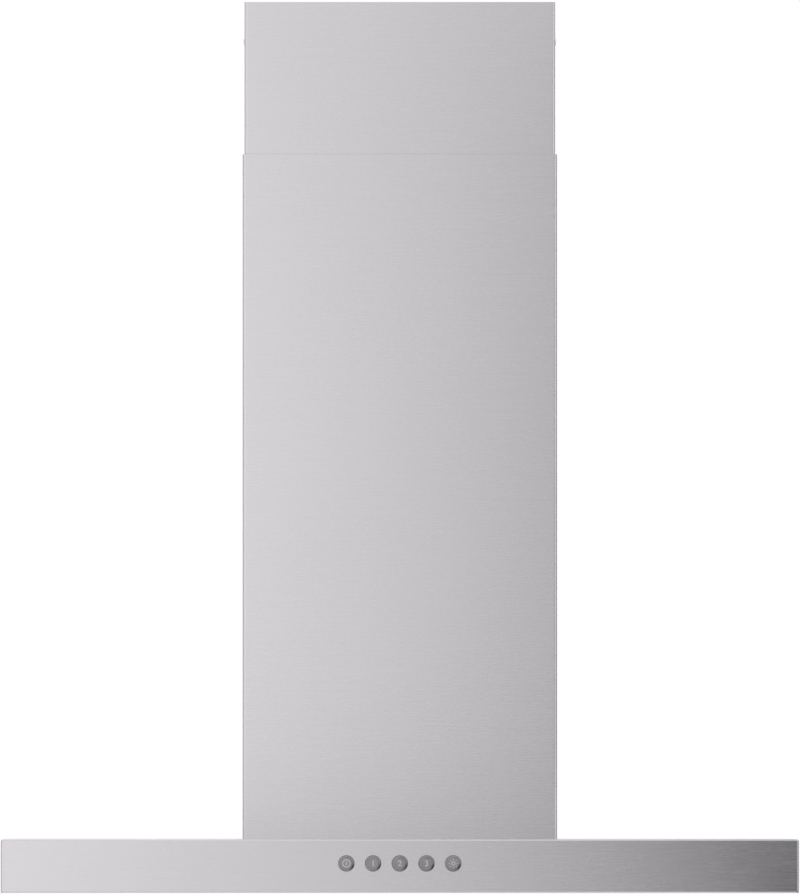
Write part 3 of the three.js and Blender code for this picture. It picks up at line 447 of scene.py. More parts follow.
def brushed_metal(name, colour, roughness, lines, dashes):
    """Stainless sheet with a level brushed grain; lines and dashes are how strong each is."""
    material, tree, shader = new_material(
        name, Metallic=1.0, Anisotropic=0.75, Anisotropic_Rotation=0.25)
    grain = add(tree, "CombineXYZ", {0: 1.0, 1: 0.02, 2: 0.0}).outputs[0]
    tree.links.new(grain, shader.inputs["Tangent"])
    hair = effect(tree, BRUSHED_LINES, Width=0.35, Length=45.0)["Lines"]
    band = effect(tree, BRUSHED_LINES, Width=1.3, Length=160.0, Shift=7.0)["Lines"]
    fleck = effect(tree, BRUSHED_LINES, Width=0.8, Length=7.0, Shift=21.0)["Lines"]
    patch = effect(tree, BLOTCHES, Size=120.0)["Patch"]
    edge = effect(tree, WORN_EDGES, Width=0.5)["Edge"]
    both = calc(tree, "ADD", times(tree, hair, 0.6), times(tree, band, 0.4))
    shade = tint(tree, colour, spread(tree, both, 0.3, 0.7), 1 - 0.035 * lines, 1 + 0.035 * lines)
    dash = times(tree, spread(tree, fleck, 0.66, 0.74), 0.05 * dashes)
    shade = mix(tree, dash, shade, WHITE)
    shade = mix(tree, times(tree, edge, 0.18), shade, (0.93, 0.93, 0.94, 1.0))
    rough = spread(tree, hair, 0.3, 0.7, roughness - 0.03, roughness + 0.03)
    dress(tree, shader, shade, calc(tree, "ADD", rough, times(tree, patch, 0.02)))
    bump(tree, shader, both, 0.002)
    return material


def zinc_coated(name, size):
    """Galvanised sheet with its spangle."""
    material, tree, shader = new_material(name, Metallic=1.0)
    cells = effect(tree, SPANGLE, Size=size)
    patch = effect(tree, BLOTCHES, Size=45.0)["Patch"]
    shade = tint(tree, srgb(168, 172, 175), cells["Tone"], 0.84, 1.12)
    shade = mix(tree, times(tree, cells["Border"], 0.25), shade, srgb(128, 132, 135))
    rough = spread(tree, cells["Tone"], 0.0, 1.0, 0.37, 0.53)
    dress(tree, shader, shade, calc(tree, "ADD", rough, times(tree, patch, 0.06)))
    bump(tree, shader, cells["Border"], 0.02, 0.5)
    return material


def bright_metal(name, colour, roughness, wear=0.3, grain=0.25):
    """Plated, turned or drawn metal with soft patches and bright edges."""
    material, tree, shader = new_material(name, Metallic=1.0)
    patch = effect(tree, BLOTCHES, Size=14.0)["Patch"]
    skin = effect(tree, FINE_GRAIN, Size=grain)["Grain"]
    edge = effect(tree, WORN_EDGES, Width=0.35)["Edge"]
    shade = tint(tree, colour, patch, 0.93, 1.05)
    shade = mix(tree, times(tree, edge, wear), shade, (0.9, 0.9, 0.91, 1.0))
    dress(tree, shader, shade, spread(tree, skin, 0.3, 0.7, roughness - 0.05, roughness + 0.07))
    bump(tree, shader, skin, 0.01, 0.6)
    return material


def moulded_plastic(name, colour, roughness, grain=0.5, wear=0.25):
    """Moulded plastic with a fine matt texture and rubbed edges."""
    material, tree, shader = new_material(name, IOR=1.5)
    patch = effect(tree, BLOTCHES, Size=35.0)["Patch"]
    skin = effect(tree, FINE_GRAIN, Size=grain)["Grain"]
    edge = effect(tree, WORN_EDGES, Width=0.4)["Edge"]
    shade = tint(tree, colour, patch, 0.94, 1.05)
    lighter = mix(tree, 0.35, colour, (0.8, 0.8, 0.8, 1.0))
    shade = mix(tree, times(tree, edge, wear), shade, lighter)
    dress(tree, shader, shade, spread(tree, skin, 0.3, 0.7, roughness - 0.06, roughness + 0.06))
    bump(tree, shader, skin, 0.03, 0.7)
    return material


def board_material():
    """Green solder mask over copper tracks."""
    material, tree, shader = new_material("circuit_board", IOR=1.5)
    place = spot_on(tree)
    square = add(tree, "TexVoronoi", {"Vector": place, "Scale": 260.0, "Randomness": 0.7},
                 distance="CHEBYCHEV", feature="DISTANCE_TO_EDGE").outputs["Distance"]
    track = spread(tree, square, 0.10, 0.06)
    dots = add(tree, "TexVoronoi", {"Vector": place, "Scale": 330.0}).outputs["Distance"]
    solder = spread(tree, dots, 0.16, 0.12)
    shade = mix(tree, times(tree, track, 0.6), srgb(28, 84, 52), srgb(64, 128, 74))
    shade = mix(tree, solder, shade, srgb(190, 192, 190))
    dress(tree, shader, shade, spread(tree, track, 0.0, 1.0, 0.42, 0.3))
    tree.links.new(times(tree, solder, 0.9), shader.inputs["Metallic"])
    bump(tree, shader, calc(tree, "ADD", track, solder), 0.05, 0.6)
    return material


def lens_material():
    """Frosted lamp cover."""
    material, tree, shader = new_material("lamp_lens", IOR=1.49, Coat_Weight=0.3)
    skin = effect(tree, FINE_GRAIN, Size=0.8)["Grain"]
    patch = effect(tree, BLOTCHES, Size=20.0)["Patch"]
    dress(tree, shader, tint(tree, srgb(243, 242, 240), patch, 0.97, 1.01),
          spread(tree, skin, 0.3, 0.7, 0.25, 0.42))
    bump(tree, shader, skin, 0.03, 0.5)
    return material


STEEL = srgb(216, 213, 217)
STEEL_CANOPY = brushed_metal(
    "brushed_steel_canopy", srgb(206, 203, 207), roughness=0.24, lines=0.35, dashes=0.5)
STEEL_LOWER = brushed_metal("brushed_steel_lower", STEEL, roughness=0.25, lines=0.55, dashes=1.2)
STEEL_UPPER = brushed_metal("brushed_steel_upper", STEEL, roughness=0.25, lines=0.4, dashes=0.8)
STEEL_PANEL = brushed_metal("brushed_steel_panel", STEEL, roughness=0.34, lines=1.2, dashes=1.0)
GALVANISED = zinc_coated("galvanised_sheet", 9.0)
ZINC = bright_metal("zinc_plate", srgb(190, 192, 194), 0.3)
POLISHED_STEEL = bright_metal("polished_steel", srgb(216, 215, 218), 0.14, wear=0.1, grain=0.2)
SPRING_WIRE = bright_metal("spring_wire", srgb(176, 178, 182), 0.26, wear=0.1, grain=0.15)
ALUMINIUM = bright_metal("aluminium", srgb(200, 202, 204), 0.4, wear=0.4, grain=0.35)
FILTER_STRAND = bright_metal("filter_strand", srgb(190, 192, 194), 0.34, wear=0.2, grain=0.3)
BUTTON_SATIN = bright_metal("button_satin", srgb(152, 151, 155), 0.3, wear=0.25, grain=0.2)
ICON_PRINT = bright_metal("icon_print", srgb(205, 204, 207), 0.5, wear=0.0, grain=0.2)
DARK_PLASTIC = moulded_plastic("dark_plastic", srgb(46, 47, 50), 0.5)
GREY_PLASTIC = moulded_plastic("grey_plastic", srgb(186, 188, 189), 0.45)
CABLE_JACKET = moulded_plastic("cable_jacket", srgb(60, 61, 64), 0.55, grain=0.3, wear=0.05)
MOTOR_PAINT = moulded_plastic("motor_paint", srgb(76, 79, 83), 0.42, grain=1.1)
CIRCUIT_BOARD = board_material()
LAMP_LENS = lens_material()

# ---- camera, light and floor
# Places and sizes here are in metres.

CAMERA_DISTANCE = 28.35  # the photograph has almost no perspective
CAMERA_SIDE = 0.0001
CAMERA_HEIGHT = 0.07  # the photograph shows a thin line of the canopy's top
AIM_HEIGHT = 0.3339
SENSOR_WIDTH, FOCAL_LENGTH = 36, 1512  # millimetres
VIEW_END = 300


def make_camera():
    data = bpy.data.cameras.new("camera")
    data.sensor_width = SENSOR_WIDTH
    data.lens = FOCAL_LENGTH
    data.clip_end = VIEW_END
    camera = bpy.data.objects.new("camera", data)
    camera.location = (CAMERA_SIDE, -CAMERA_DISTANCE, CAMERA_HEIGHT)
    upward = math.atan2(AIM_HEIGHT - CAMERA_HEIGHT, FASCIA * MM + CAMERA_DISTANCE)
    camera.rotation_euler = (math.pi / 2 + upward, 0, 0)
    bpy.context.scene.collection.objects.link(camera)
    bpy.context.scene.camera = camera
    bpy.context.scene.view_settings.view_transform = "Standard"


def make_world():
    """White all round, a little darker to matt surfaces."""
    world = bpy.data.worlds.new("white_studio")
    bpy.context.scene.world = world
    world.use_nodes = True
    tree = world.node_tree
    ray = add(tree, "LightPath").outputs
    seen = calc(tree, "MAXIMUM", calc(tree, "MAXIMUM", ray["Is Camera Ray"], ray["Is Glossy Ray"]),
                ray["Is Transmission Ray"])
    strength = spread(tree, seen, 0.0, 1.0, 0.72, 1.0)
    background = tree.nodes["Background"].inputs
    tree.links.new(strength, background["Strength"])
    background["Color"].default_value = WHITE


def glow_along(tree, axis, stops):
    """Light that changes along one axis; stops lists (place in metres, strength)."""
    place = spot_on(tree)
    along = add(tree, "SeparateXYZ", {0: place}).outputs[axis]
    first, last = stops[0][0], stops[-1][0]
    ramp = add(tree, "ValToRGB", {0: spread(tree, along, first, last)})
    points = ramp.color_ramp.elements
    points.remove(points[1])
    for index, (where, strength) in enumerate(stops):
        point = points.new((where - first) / (last - first)) if index else points[0]
        point.color = (strength, strength, strength, 1)
    return ramp.outputs[0]


def card_material(name, level, upright):
    """A glow that changes along the card, by level, and up it, by upright."""
    material = bpy.data.materials.new(name)
    material.use_nodes = True
    tree = material.node_tree
    tree.nodes.clear()
    colour = mix(tree, 1.0, glow_along(tree, *level), glow_along(tree, "Z", upright), "MULTIPLY")
    glow = add(tree, "Emission", {"Color": colour, "Strength": 1.0})
    add(tree, "OutputMaterial", {0: glow.outputs[0]}, is_active_output=True)
    return material


def reflected_card(name, location, turn, size, material):
    """A card that only reflections see."""
    deselect()
    bpy.ops.mesh.primitive_plane_add(size=1, location=location, rotation=turn, scale=(*size, 1))
    card = settle(name)
    card.data.materials.append(material)
    card.visible_camera = card.visible_diffuse = False
    card.visible_transmission = card.visible_shadow = card.visible_volume_scatter = False


# Light of the card in front, which the hood's front mirrors: along x, then up z.
FRONT_GLOW = [(-1.6, 1.25), (-0.34, 1.29), (-0.17, 1.065), (0.0, 0.865), (0.10, 0.715), (0.16, 0.58),
              (0.21, 0.47), (0.255, 0.35), (0.30, 0.15), (0.34, 0.04), (1.6, 0.02)]
FRONT_RISE = [(-1.5, 0.86), (-0.4, 0.88), (0.0, 0.95), (0.15, 0.985), (0.45, 1.02), (0.57, 0.97),
              (0.66, 0.89), (0.75, 0.79), (0.9, 0.67), (1.05, 0.78), (1.2, 1.6), (2.1, 2.0)]
LEFT_LEVEL, RIGHT_LEVEL = 0.22, 0.06
ABOVE_GAIN, ABOVE_BASE, ABOVE_MOST = 1.8, 0.1, 1.5  # of the card above, against the one in front

ROOM_HALF = 1.6
ROOM_FRONT = -1.25
ROOM_TOP = 1.7
CARD_HEIGHT = 0.3  # middle of the upright cards
FLOOR_HEIGHT = -0.45
FLOOR_DIMS = (0.25, 0.47)  # where the mirrored floor fades out towards the right


def make_cards():
    front = card_material("front_glow", ("X", FRONT_GLOW), FRONT_RISE)
    reflected_card("front_card", (0, ROOM_FRONT, CARD_HEIGHT), (math.pi / 2, 0, 0),
                   (2 * ROOM_HALF, 3.6), front)
    above_glow = [(at, min(level * ABOVE_GAIN + ABOVE_BASE, ABOVE_MOST)) for at, level in FRONT_GLOW]
    above = card_material("above_glow", ("X", above_glow), [(1.6, 1.0), (1.8, 1.0)])
    reflected_card("above_card", (0, 0.1, ROOM_TOP), (0, 0, 0), (2 * ROOM_HALF, 2.8), above)
    for name, x, level in (("left_card", -ROOM_HALF, LEFT_LEVEL), ("right_card", ROOM_HALF, RIGHT_LEVEL)):
        fade = [(ROOM_FRONT, level), (0.0, level), (2.15, level * 1.2)]
        grey = card_material(name, ("Y", fade), [(-1.3, 0.9), (1.9, 1.0)])
        reflected_card(name, (x, 0.45, CARD_HEIGHT), (0, math.pi / 2, 0), (2 * ROOM_HALF, 3.4), grey)


def make_key_lamp():
    data = bpy.data.lights.new("key_lamp", "AREA")
    data.shape = "RECTANGLE"
    data.size, data.size_y = 1.6, 1.2
    data.energy = 26
    lamp = bpy.data.objects.new("key_lamp", data)
    lamp.location = (-1.6, -1.9, 2.0)
    lamp.rotation_euler = (math.radians(52), 0, math.radians(-40))
    bpy.context.scene.collection.objects.link(lamp)
    lamp.visible_glossy = False


def floor_material():
    """Clear from below; in reflections it glows at the left and is dark at the right."""
    material, tree, shader = new_material("white_floor", Roughness=0.9)
    place = spot_on(tree)
    right = spread(tree, add(tree, "SeparateXYZ", {0: place}).outputs["X"], *FLOOR_DIMS)
    back = add(tree, "NewGeometry").outputs["Backfacing"]
    clear = add(tree, "BsdfTransparent").outputs[0]
    mirrored = add(tree, "LightPath").outputs["Is Glossy Ray"]
    dimmed = times(tree, mirrored, right)
    shade = mix(tree, dimmed, (0.9, 0.9, 0.9, 1), (0.04, 0.04, 0.04, 1))
    tree.links.new(shade, shader.inputs["Base Color"])
    shader.inputs["Emission Color"].default_value = WHITE
    glow = times(tree, calc(tree, "SUBTRACT", mirrored, dimmed), 0.1)
    tree.links.new(glow, shader.inputs["Emission Strength"])
    both = add(tree, "MixShader", {0: back, 1: shader.outputs[0], 2: clear}).outputs[0]
    tree.links.new(both, tree.nodes["Material Output"].inputs[0])
    return material


def make_floor():
    deselect()
    bpy.ops.mesh.primitive_plane_add(size=8, location=(0, 0, FLOOR_HEIGHT))
    floor = settle("floor")
    floor.data.materials.append(floor_material())


make_camera()
make_world()
make_cards()
make_key_lamp()
make_floor()

# ---- canopy

CANOPY_FOLD = 1.5  # outer radius of its folds
HEM = 12  # fold that runs inwards round the underside
HOUSING_FLANGE = 15  # round the duct opening
REACH = 5  # of a cutting tool on each side of the sheet
BUTTON_Z = 22
BUTTON_HOLE = 6.06  # radius
BUTTONS = {name: middle("button_" + name)[0]
           for name in ("power", "speed_1", "speed_2", "speed_3", "light")}
SWITCH_LEAD_X = -45
RELIEF_MARGIN = 1.4  # from the outer faces to the middle of a relief hole
STUD_X = 66


def make_canopy_holes():
    top = CANOPY_TOP - REACH
    holes = [rod("hole", "y", (x, FASCIA - REACH, BUTTON_Z), BUTTON_HOLE, 2 * REACH, 64)
             for x in BUTTONS.values()]
    holes.append(rod("hole", "z", (SWITCH_LEAD_X, HOUSING[1][0] - 26, top), 7.9, 2 * REACH, 32))
    for side in ("left", "right"):
        x, y, _ = middle("housing_screw_" + side)
        holes.append(rod("hole", "z", (x, y, top), 2.3, 2 * REACH, 24))
    x, y = CANOPY_SIDE - RELIEF_MARGIN, WALL - RELIEF_MARGIN
    for corner in ((-x, -y), (-x, y), (x, -y), (x, y)):
        holes.append(rod("relief", "z", (*corner, -1), 1.1, 3, 16))
    return weld("holes", *holes)


def make_canopy():
    canopy = block("canopy", *CANOPY)
    hollow = block("hollow", *within(CANOPY, SHEET))
    for box, radius in ((canopy, CANOPY_FOLD), (hollow, CANOPY_FOLD - SHEET)):
        round_edges(box, lambda at, along: at.z > CANOPY_TOP - 1 or abs(along.z) > STRAIGHT, radius, 5)
        round_edges(box, lambda at, along: at.z < SHEET + 0.1 and abs(along.z) < 0.1, radius - 0.5)
    mouth = block("mouth", *within(CANOPY, HEM)[:2], (-1, 4))
    round_edges(mouth, lambda at, along: abs(along.z) > STRAIGHT, 4, 4)
    duct_opening = block("duct_opening", *within(HOUSING, HOUSING_FLANGE)[:2], around(CANOPY_TOP, REACH))
    pierce(canopy, hollow, mouth, duct_opening)
    pierce(canopy, make_canopy_holes())

    def button_rim(at, along):
        return at.y < FASCIA + 0.1 and any(
            abs(math.hypot(at.x - x, at.z - BUTTON_Z) - BUTTON_HOLE) < 0.1 for x in BUTTONS.values())

    round_edges(canopy, button_rim, 0.15, 2)
    studs = [rod("stud", "y", (x, FASCIA + SHEET / 2, BUTTON_Z), 1.5, 15.5, 16)
             for x in (-STUD_X, STUD_X)]
    canopy = weld("canopy", canopy, *studs)
    finish_piece(canopy, "hood", STEEL_CANOPY, "canopy_shell")


make_canopy()

# ---- chimney covers

COVER_BEND = 2.2  # outer radius of the front bends
COVER_RETURN = 11  # fold along the wall
FOOT = 9  # fold that stands on the canopy
SIDE_FOOT_Y = (15, 205)
SIDE_SCREW_Y, SIDE_SCREW_Z = middle("chimney_screw_left")[1:]


def folded_cover(name, box):
    """A U-shaped cover with returns along the wall."""
    (_, right), (front, back), _ = box
    cover = block(name, *box)
    shape(cover)
    pick_faces(cover, lambda at, normal: abs(normal.z) > STRAIGHT or normal.y > STRAIGHT)
    bpy.ops.mesh.delete(type="ONLY_FACE")
    pick_all()
    bpy.ops.mesh.delete_loose()
    pick_edges(cover, lambda at, along: abs(along.z) > STRAIGHT and at.y < front + 1)
    fold(COVER_BEND, 6)
    for side in (-1, 1):
        pick_edges(cover, lambda at, along: (
            abs(along.z) > STRAIGHT and at.y > back - 1 and at.x * side > right - 1))
        inwards = (-side * COVER_RETURN * MM, 0, 0)
        bpy.ops.mesh.extrude_region_move(TRANSFORM_OT_translate={"value": inwards})
    done()
    thicken(cover, SHEET)
    return cover


def make_covers():
    lower = folded_cover("chimney_lower", LOWER_COVER)
    side, front = LOWER_COVER[0][1], LOWER_COVER[1][0]
    flat = (CANOPY_TOP, CANOPY_TOP + SHEET)
    inner, outer = side - FOOT, side - 0.45
    feet = [block("foot", around(0, side - COVER_BEND - 0.25), (front + 0.4, front + FOOT + 0.8), flat),
            block("foot", (-outer, -inner), SIDE_FOOT_Y, flat),
            block("foot", (inner, outer), SIDE_FOOT_Y, flat)]
    lower = weld("chimney_lower", lower, *feet)
    finish_piece(lower, "hood", STEEL_LOWER, "lower_chimney")

    upper = folded_cover("chimney_upper", UPPER_COVER)
    pierce(upper, rod("hole", "x", (-130, SIDE_SCREW_Y, SIDE_SCREW_Z), 1.8, 260, 24))
    finish_piece(upper, "chimney_extension", STEEL_UPPER, "upper_chimney")


def make_side_screws():
    face = UPPER_COVER[0][1]
    long, narrow = 1.6, 0.3  # half sizes of the cross in the head
    for name, side in (("left", -1), ("right", 1)):
        screw = turned("side_screw_" + name, "x", (side * face, SIDE_SCREW_Y, SIDE_SCREW_Z), [
            (1.5, -8 * side), (1.5, 0), (3.0, 0), (3.0, 0.35 * side), (2.7, 0.8 * side),
            (2.0, 1.1 * side), (0.9, 1.2 * side)], 32)
        depth = sorted((side * (face + 0.5), side * 120))
        pierce(screw, *[
            block("cut", depth, around(SIDE_SCREW_Y, across), around(SIDE_SCREW_Z, up))
            for across, up in ((narrow, long), (long, narrow))])
        finish_piece(screw, "chimney_extension", ZINC, "chimney_screw_" + name)


make_covers()
make_side_screws()

# ---- push buttons

CAP_FACE = extent("button_power")[1][0]
MARK_FRONT, MARK_BACK = -0.05, 0.02  # of the signs, from the cap's face
MARK_Y = (CAP_FACE + MARK_FRONT, CAP_FACE + MARK_BACK)
SPRING_FRONT, SPRING_BACK = extent("button_spring_power")[1]


def make_button(name, x):
    cap = turned("push_" + name, "y", (x, FASCIA, BUTTON_Z), [
        (2.4, 13.3), (2.4, 2.3), (7.0, 2.3), (7.0, 1.1), (5.95, 1.1), (5.95, -0.1), (5.9, -0.2),
        (5.4, -1.15), (5.25, -1.3), (4.75, -1.57), (4.6, -1.58), (4.5, -1.5), (4.35, -1.3), (4.25, -1.3),
        (4.15, -1.5), (4.05, -1.58), (3.95, -1.6)], 64)
    finish_piece(cap, name + "_button", BUTTON_SATIN, "button_" + name)


def mark_ring(x, outer, inner, sides):
    return turned("ring", "y", (x, CAP_FACE, BUTTON_Z), [
        (outer, MARK_BACK), (outer, MARK_FRONT), (inner, MARK_FRONT), (inner, MARK_BACK),
        (outer, MARK_BACK)], sides)


def make_power_mark(x):
    bar = block("bar", around(x, 0.38), MARK_Y, (BUTTON_Z - 1.3, BUTTON_Z + 1.4))
    return weld("mark_power", mark_ring(x, 3.1, 2.4, 48), bar)


def make_digit_mark(name, digit, x):
    deselect()
    bpy.ops.object.text_add()
    text = bpy.context.active_object
    text.data.body = digit
    text.data.align_x = text.data.align_y = "CENTER"
    text.data.size = 6.2 * MM
    text.data.extrude = (MARK_BACK - MARK_FRONT) / 2 * MM
    text.data.offset = 0.11 * MM
    bpy.ops.object.convert(target="MESH")
    text.name = "mark_" + name
    mark = put(text, (x, sum(MARK_Y) / 2, BUTTON_Z - 0.2), (math.pi / 2, 0, 0))
    shape(mark)
    pick_all()
    bpy.ops.mesh.remove_doubles(threshold=0.008 * MM)
    bpy.ops.mesh.delete_loose()
    done()
    if digit == "3":  # a small dot at its upper right
        dot = rod("dot", "y", (x + 2.4, MARK_Y[0], BUTTON_Z + 2.5), 0.42, MARK_BACK - MARK_FRONT, 16)
        mark = weld(mark.name, mark, dot)
    return mark


def make_lamp_mark(x):
    ring = mark_ring(x, 1.6, 0.9, 32)
    rays = []
    for step in range(8):
        ray = block("ray", around(0, 0.42), MARK_Y, (2.65, 3.6))
        rays.append(put(ray, (x, 0, BUTTON_Z), (0, step * math.pi / 4, 0)))
    return weld("mark_light", ring, *rays)


def coil(name, axis, start, radius, wire, length, turns):
    """A wound spring with its ends closed; wire is the wire's radius."""
    deselect()
    bpy.ops.mesh.primitive_circle_add(
        vertices=8, radius=wire * MM, fill_type="NOTHING", location=(radius * MM, 0, wire * MM),
        rotation=(math.pi / 2, 0, 0))
    spring = settle(name)
    modify(spring, "SCREW", angle=2 * math.pi, iterations=turns, steps=20, render_steps=20,
           screw_offset=(length - 2 * wire) / turns * MM)
    shape(spring)
    pick_all()
    bpy.ops.mesh.fill_holes(sides=8)
    pick_all()
    bpy.ops.mesh.normals_make_consistent(inside=False)
    done()
    return put(spring, start, LIE[axis])


def make_buttons():
    for name, x in BUTTONS.items():
        make_button(name, x)
        if name == "power":
            mark = make_power_mark(x)
        elif name == "light":
            mark = make_lamp_mark(x)
        else:
            mark = make_digit_mark(name, name[-1], x)
        finish_piece(mark, name + "_button", ICON_PRINT)
        spring = coil("return_spring_" + name, "y", (x, SPRING_FRONT, BUTTON_Z), 3.3, 0.35,
                      SPRING_BACK - SPRING_FRONT, 4)
        finish_piece(spring, "hood", SPRING_WIRE, "button_spring_" + name, angle=60)
        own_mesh(spring)


make_buttons()

# ---- underside panel and lamps

OPENING_X = (10, 260)  # of the filters' openings, on each side
OPENING_Y = (-125, 195)
PANEL_SCREWS = [(x, y) for x in (-282, 282) for y in (-205, 35, 208)]
LAMP_X, LAMP_Y = middle("lamp_bezel_right")[:2]
LAMP_CAN = 31  # radius


def open_panel(panel):
    """Cuts the filters' openings into the tray's floor."""
    near, far = OPENING_X
    front, rear = OPENING_Y

    def floor(at, normal):
        return normal.z < -STRAIGHT and abs(at.x) < 296 and abs(at.y) < 222

    def opening(at, normal):
        return normal.z < -STRAIGHT and near + 2 < abs(at.x) < far - 2 and front + 5 < at.y < rear - 5

    divide_faces(panel, floor, [("x", x) for x in (-far, -near, near, far)] + [("y", front), ("y", rear)])
    pick_faces(panel, opening)
    bpy.ops.mesh.delete(type="FACE")


def make_panel_screw(x, y):
    head = turned("head", "z", (x, y, 0), [
        (1.5, 1.7), (1.5, 0.75), (2.9, 0.75), (2.9, 0.6), (2.5, 0.3), (1.6, 0.12), (0.8, 0.08)], 24)
    long, narrow = 1.5, 0.25  # half sizes of the cross in the head
    pierce(head, block("cut", around(x, narrow), around(y, long), (-1, 0.4)),
           block("cut", around(x, long), around(y, narrow), (-1, 0.4)))
    return head


def make_panel():
    panel = block("underside_panel", *PANEL)
    shape(panel)
    pick_faces(panel, lambda at, normal: normal.z > STRAIGHT)
    bpy.ops.mesh.delete(type="ONLY_FACE")
    pick_edges(panel, lambda at, along: at.z < PANEL[2][1] - 0.1)
    fold(1.0, 3)
    open_panel(panel)
    done()
    thicken(panel, SHEET)
    holes = [rod("hole", "z", (x, LAMP_Y, -1), 29, 6, 64) for x in (-LAMP_X, LAMP_X)]
    holes += [rod("hole", "z", (x, y, -1), 1.7, 6, 20) for x, y in PANEL_SCREWS]
    pierce(panel, weld("holes", *holes))
    heads = [make_panel_screw(x, y) for x, y in PANEL_SCREWS]
    panel = weld("underside_panel", panel, *heads)
    finish_piece(panel, "hood", STEEL_PANEL, "inner_panel")


def make_lamps():
    ridges = []
    for ring in range(11):
        radius = 23.4 - ring * 2
        ridges += [(radius, 1.1), (radius - 0.5, 1.55), (radius - 1.0, 1.55)]
    for name, x in (("left", -LAMP_X), ("right", LAMP_X)):
        place = (x, LAMP_Y, 0)
        bezel = turned("lamp_ring_" + name, "z", place, [
            (33.0, 0.8), (33.0, 0.55), (32.7, 0.25), (32.1, 0.05), (31.3, 0.0), (25.8, 0.0), (25.2, 0.05),
            (24.6, 0.25), (24.2, 0.6), (24.2, 0.8), (26.5, 0.8), (26.5, 5.0), (28.5, 5.0), (28.5, 0.8),
            (33.0, 0.8)], 96)
        finish_piece(bezel, "hood", POLISHED_STEEL, "lamp_bezel_" + name)
        lens = turned("lamp_cover_" + name, "z", place, [(26.2, 3.1), (26.2, 1.1), *ridges], 72)
        finish_piece(lens, "hood", LAMP_LENS, "lamp_lens_" + name)
        body = turned("lamp_can_" + name, "z", place, [
            (28.8, 7.6), (28.8, 1.6), (33.0, 1.6), (33.0, 2.8), (31.4, 2.8), (LAMP_CAN, 3.2),
            (LAMP_CAN, 21.4), (30.4, 22.0)], 72)
        slots = [block("slot", around(x + step * LAMP_CAN / 3, 2.2), around(LAMP_Y, 33), (13, 24))
                 for step in range(-2, 3)]
        pierce(body, weld("slots", *slots))
        finish_piece(body, "hood", ALUMINIUM, "lamp_body_" + name)


make_panel()
make_lamps()

# ---- grease filters
# Each is modelled about x = 0 and then moved to its side.

FILTER_X = (OPENING_X[0] + OPENING_X[1]) / 2
FILTER_GAP = 1.5  # round a filter in its opening
RAILS = [around(0, (OPENING_X[1] - OPENING_X[0]) / 2 - FILTER_GAP),
         (OPENING_Y[0] + FILTER_GAP, OPENING_Y[1] - FILTER_GAP), extent("filter_frame_left")[2]]
RIM = 12  # width of a rail
RAIL_WALL = 1.2
RAIL_MIDDLES = within(RAILS, RIM / 2)
PAD = within(RAILS, 4.3)
BOLT_SLOT = [around(0, 10.4), (-126, -118.5), (1.6, 6.2)]
WELL_Y = (-119.5, -95.5)
THROUGH = (-1, 12)  # up past the whole filter
TONGUE_X = 80


def make_mitres():
    """Fine cuts across the corners of the rails."""
    (left, right), (front, rear), _ = RAIL_MIDDLES
    mitres = []
    for x, y, turn in ((left, front, -1), (left, rear, 1), (right, front, 1), (right, rear, -1)):
        cut = block("cut", around(0, 7.4), around(0, 0.12), around(0, 0.3))
        cut.rotation_euler = (0, 0, turn * math.pi / 4)
        for z in within(RAILS, 0.05)[2]:
            cut.location = (x * MM, y * MM, z * MM)
            mitres.append(twin(cut, "cut", (0, 0, 0)))
        bpy.data.objects.remove(cut)
    return weld("mitres", *mitres)


def make_rails():
    """The channel frame of one filter, with its latch block."""
    rails = block("rails", *RAILS)
    round_edges(rails, lambda at, along: True, 0.9)
    channel = within(RAILS, RAIL_WALL)
    pierce(rails, block("window", *within(RAILS, RIM)[:2], THROUGH), block("channel", *channel),
           block("seat", around(0, 30), (channel[1][0], -111), THROUGH), block("bolt_slot", *BOLT_SLOT))
    ease(rails, 0.25)
    pierce(rails, make_mitres())
    latch_block = block("latch_block", around(0, 29.9), (-122.5, -91.5), RAILS[2])
    ease(latch_block, 0.6)
    pierce(latch_block, block("well", around(0, 22), WELL_Y, (-1, 8.3)),
           block("well", around(0, 24), WELL_Y, (5.6, 8.3)), block("bolt_slot", *BOLT_SLOT))
    tongues = [block("tongue", around(x, 10), (191.5, 203), (1.9, 2.9)) for x in (-TONGUE_X, TONGUE_X)]
    for tongue in tongues:
        round_edges(tongue, lambda at, along: abs(along.z) > STRAIGHT and at.y > 200, 3, 4)
    rivets = [turned("rivet", "z", (x, y, 0), [
        (1.8, 0.9), (1.8, 0.6), (1.5, 0.35), (0.9, 0.22), (0.4, 0.2)], 20)
        for x in RAIL_MIDDLES[0] for y in (-113, 0, 183)]
    return weld("rails", rails, latch_block, *tongues, *rivets)


def make_expanded_sheet(z):
    """Slit and stretched sheet, with rhombic openings."""
    deselect()
    bpy.ops.mesh.primitive_grid_add(
        x_subdivisions=46, y_subdivisions=46, size=1, rotation=(0, 0, math.pi / 4))
    sheet = settle("strands")
    sheet.scale = (0.5, 0.34, 1)
    put(sheet, (0, sum(PAD[1]) / 2, z))
    shape(sheet)
    for index, (low, high) in enumerate(PAD[:2]):
        for place in (low, high):
            pick_all()
            point, away = [0, 0, z * MM], [0, 0, 0]
            point[index], away[index] = place * MM, 1
            bpy.ops.mesh.bisect(
                plane_co=point, plane_no=away, clear_inner=place == low, clear_outer=place == high)
    pick_all()
    bpy.ops.mesh.inset(thickness=0.55 * MM, depth=0, use_individual=True)
    bpy.ops.mesh.delete(type="FACE")
    done()
    thicken(sheet, 0.5)
    return sheet


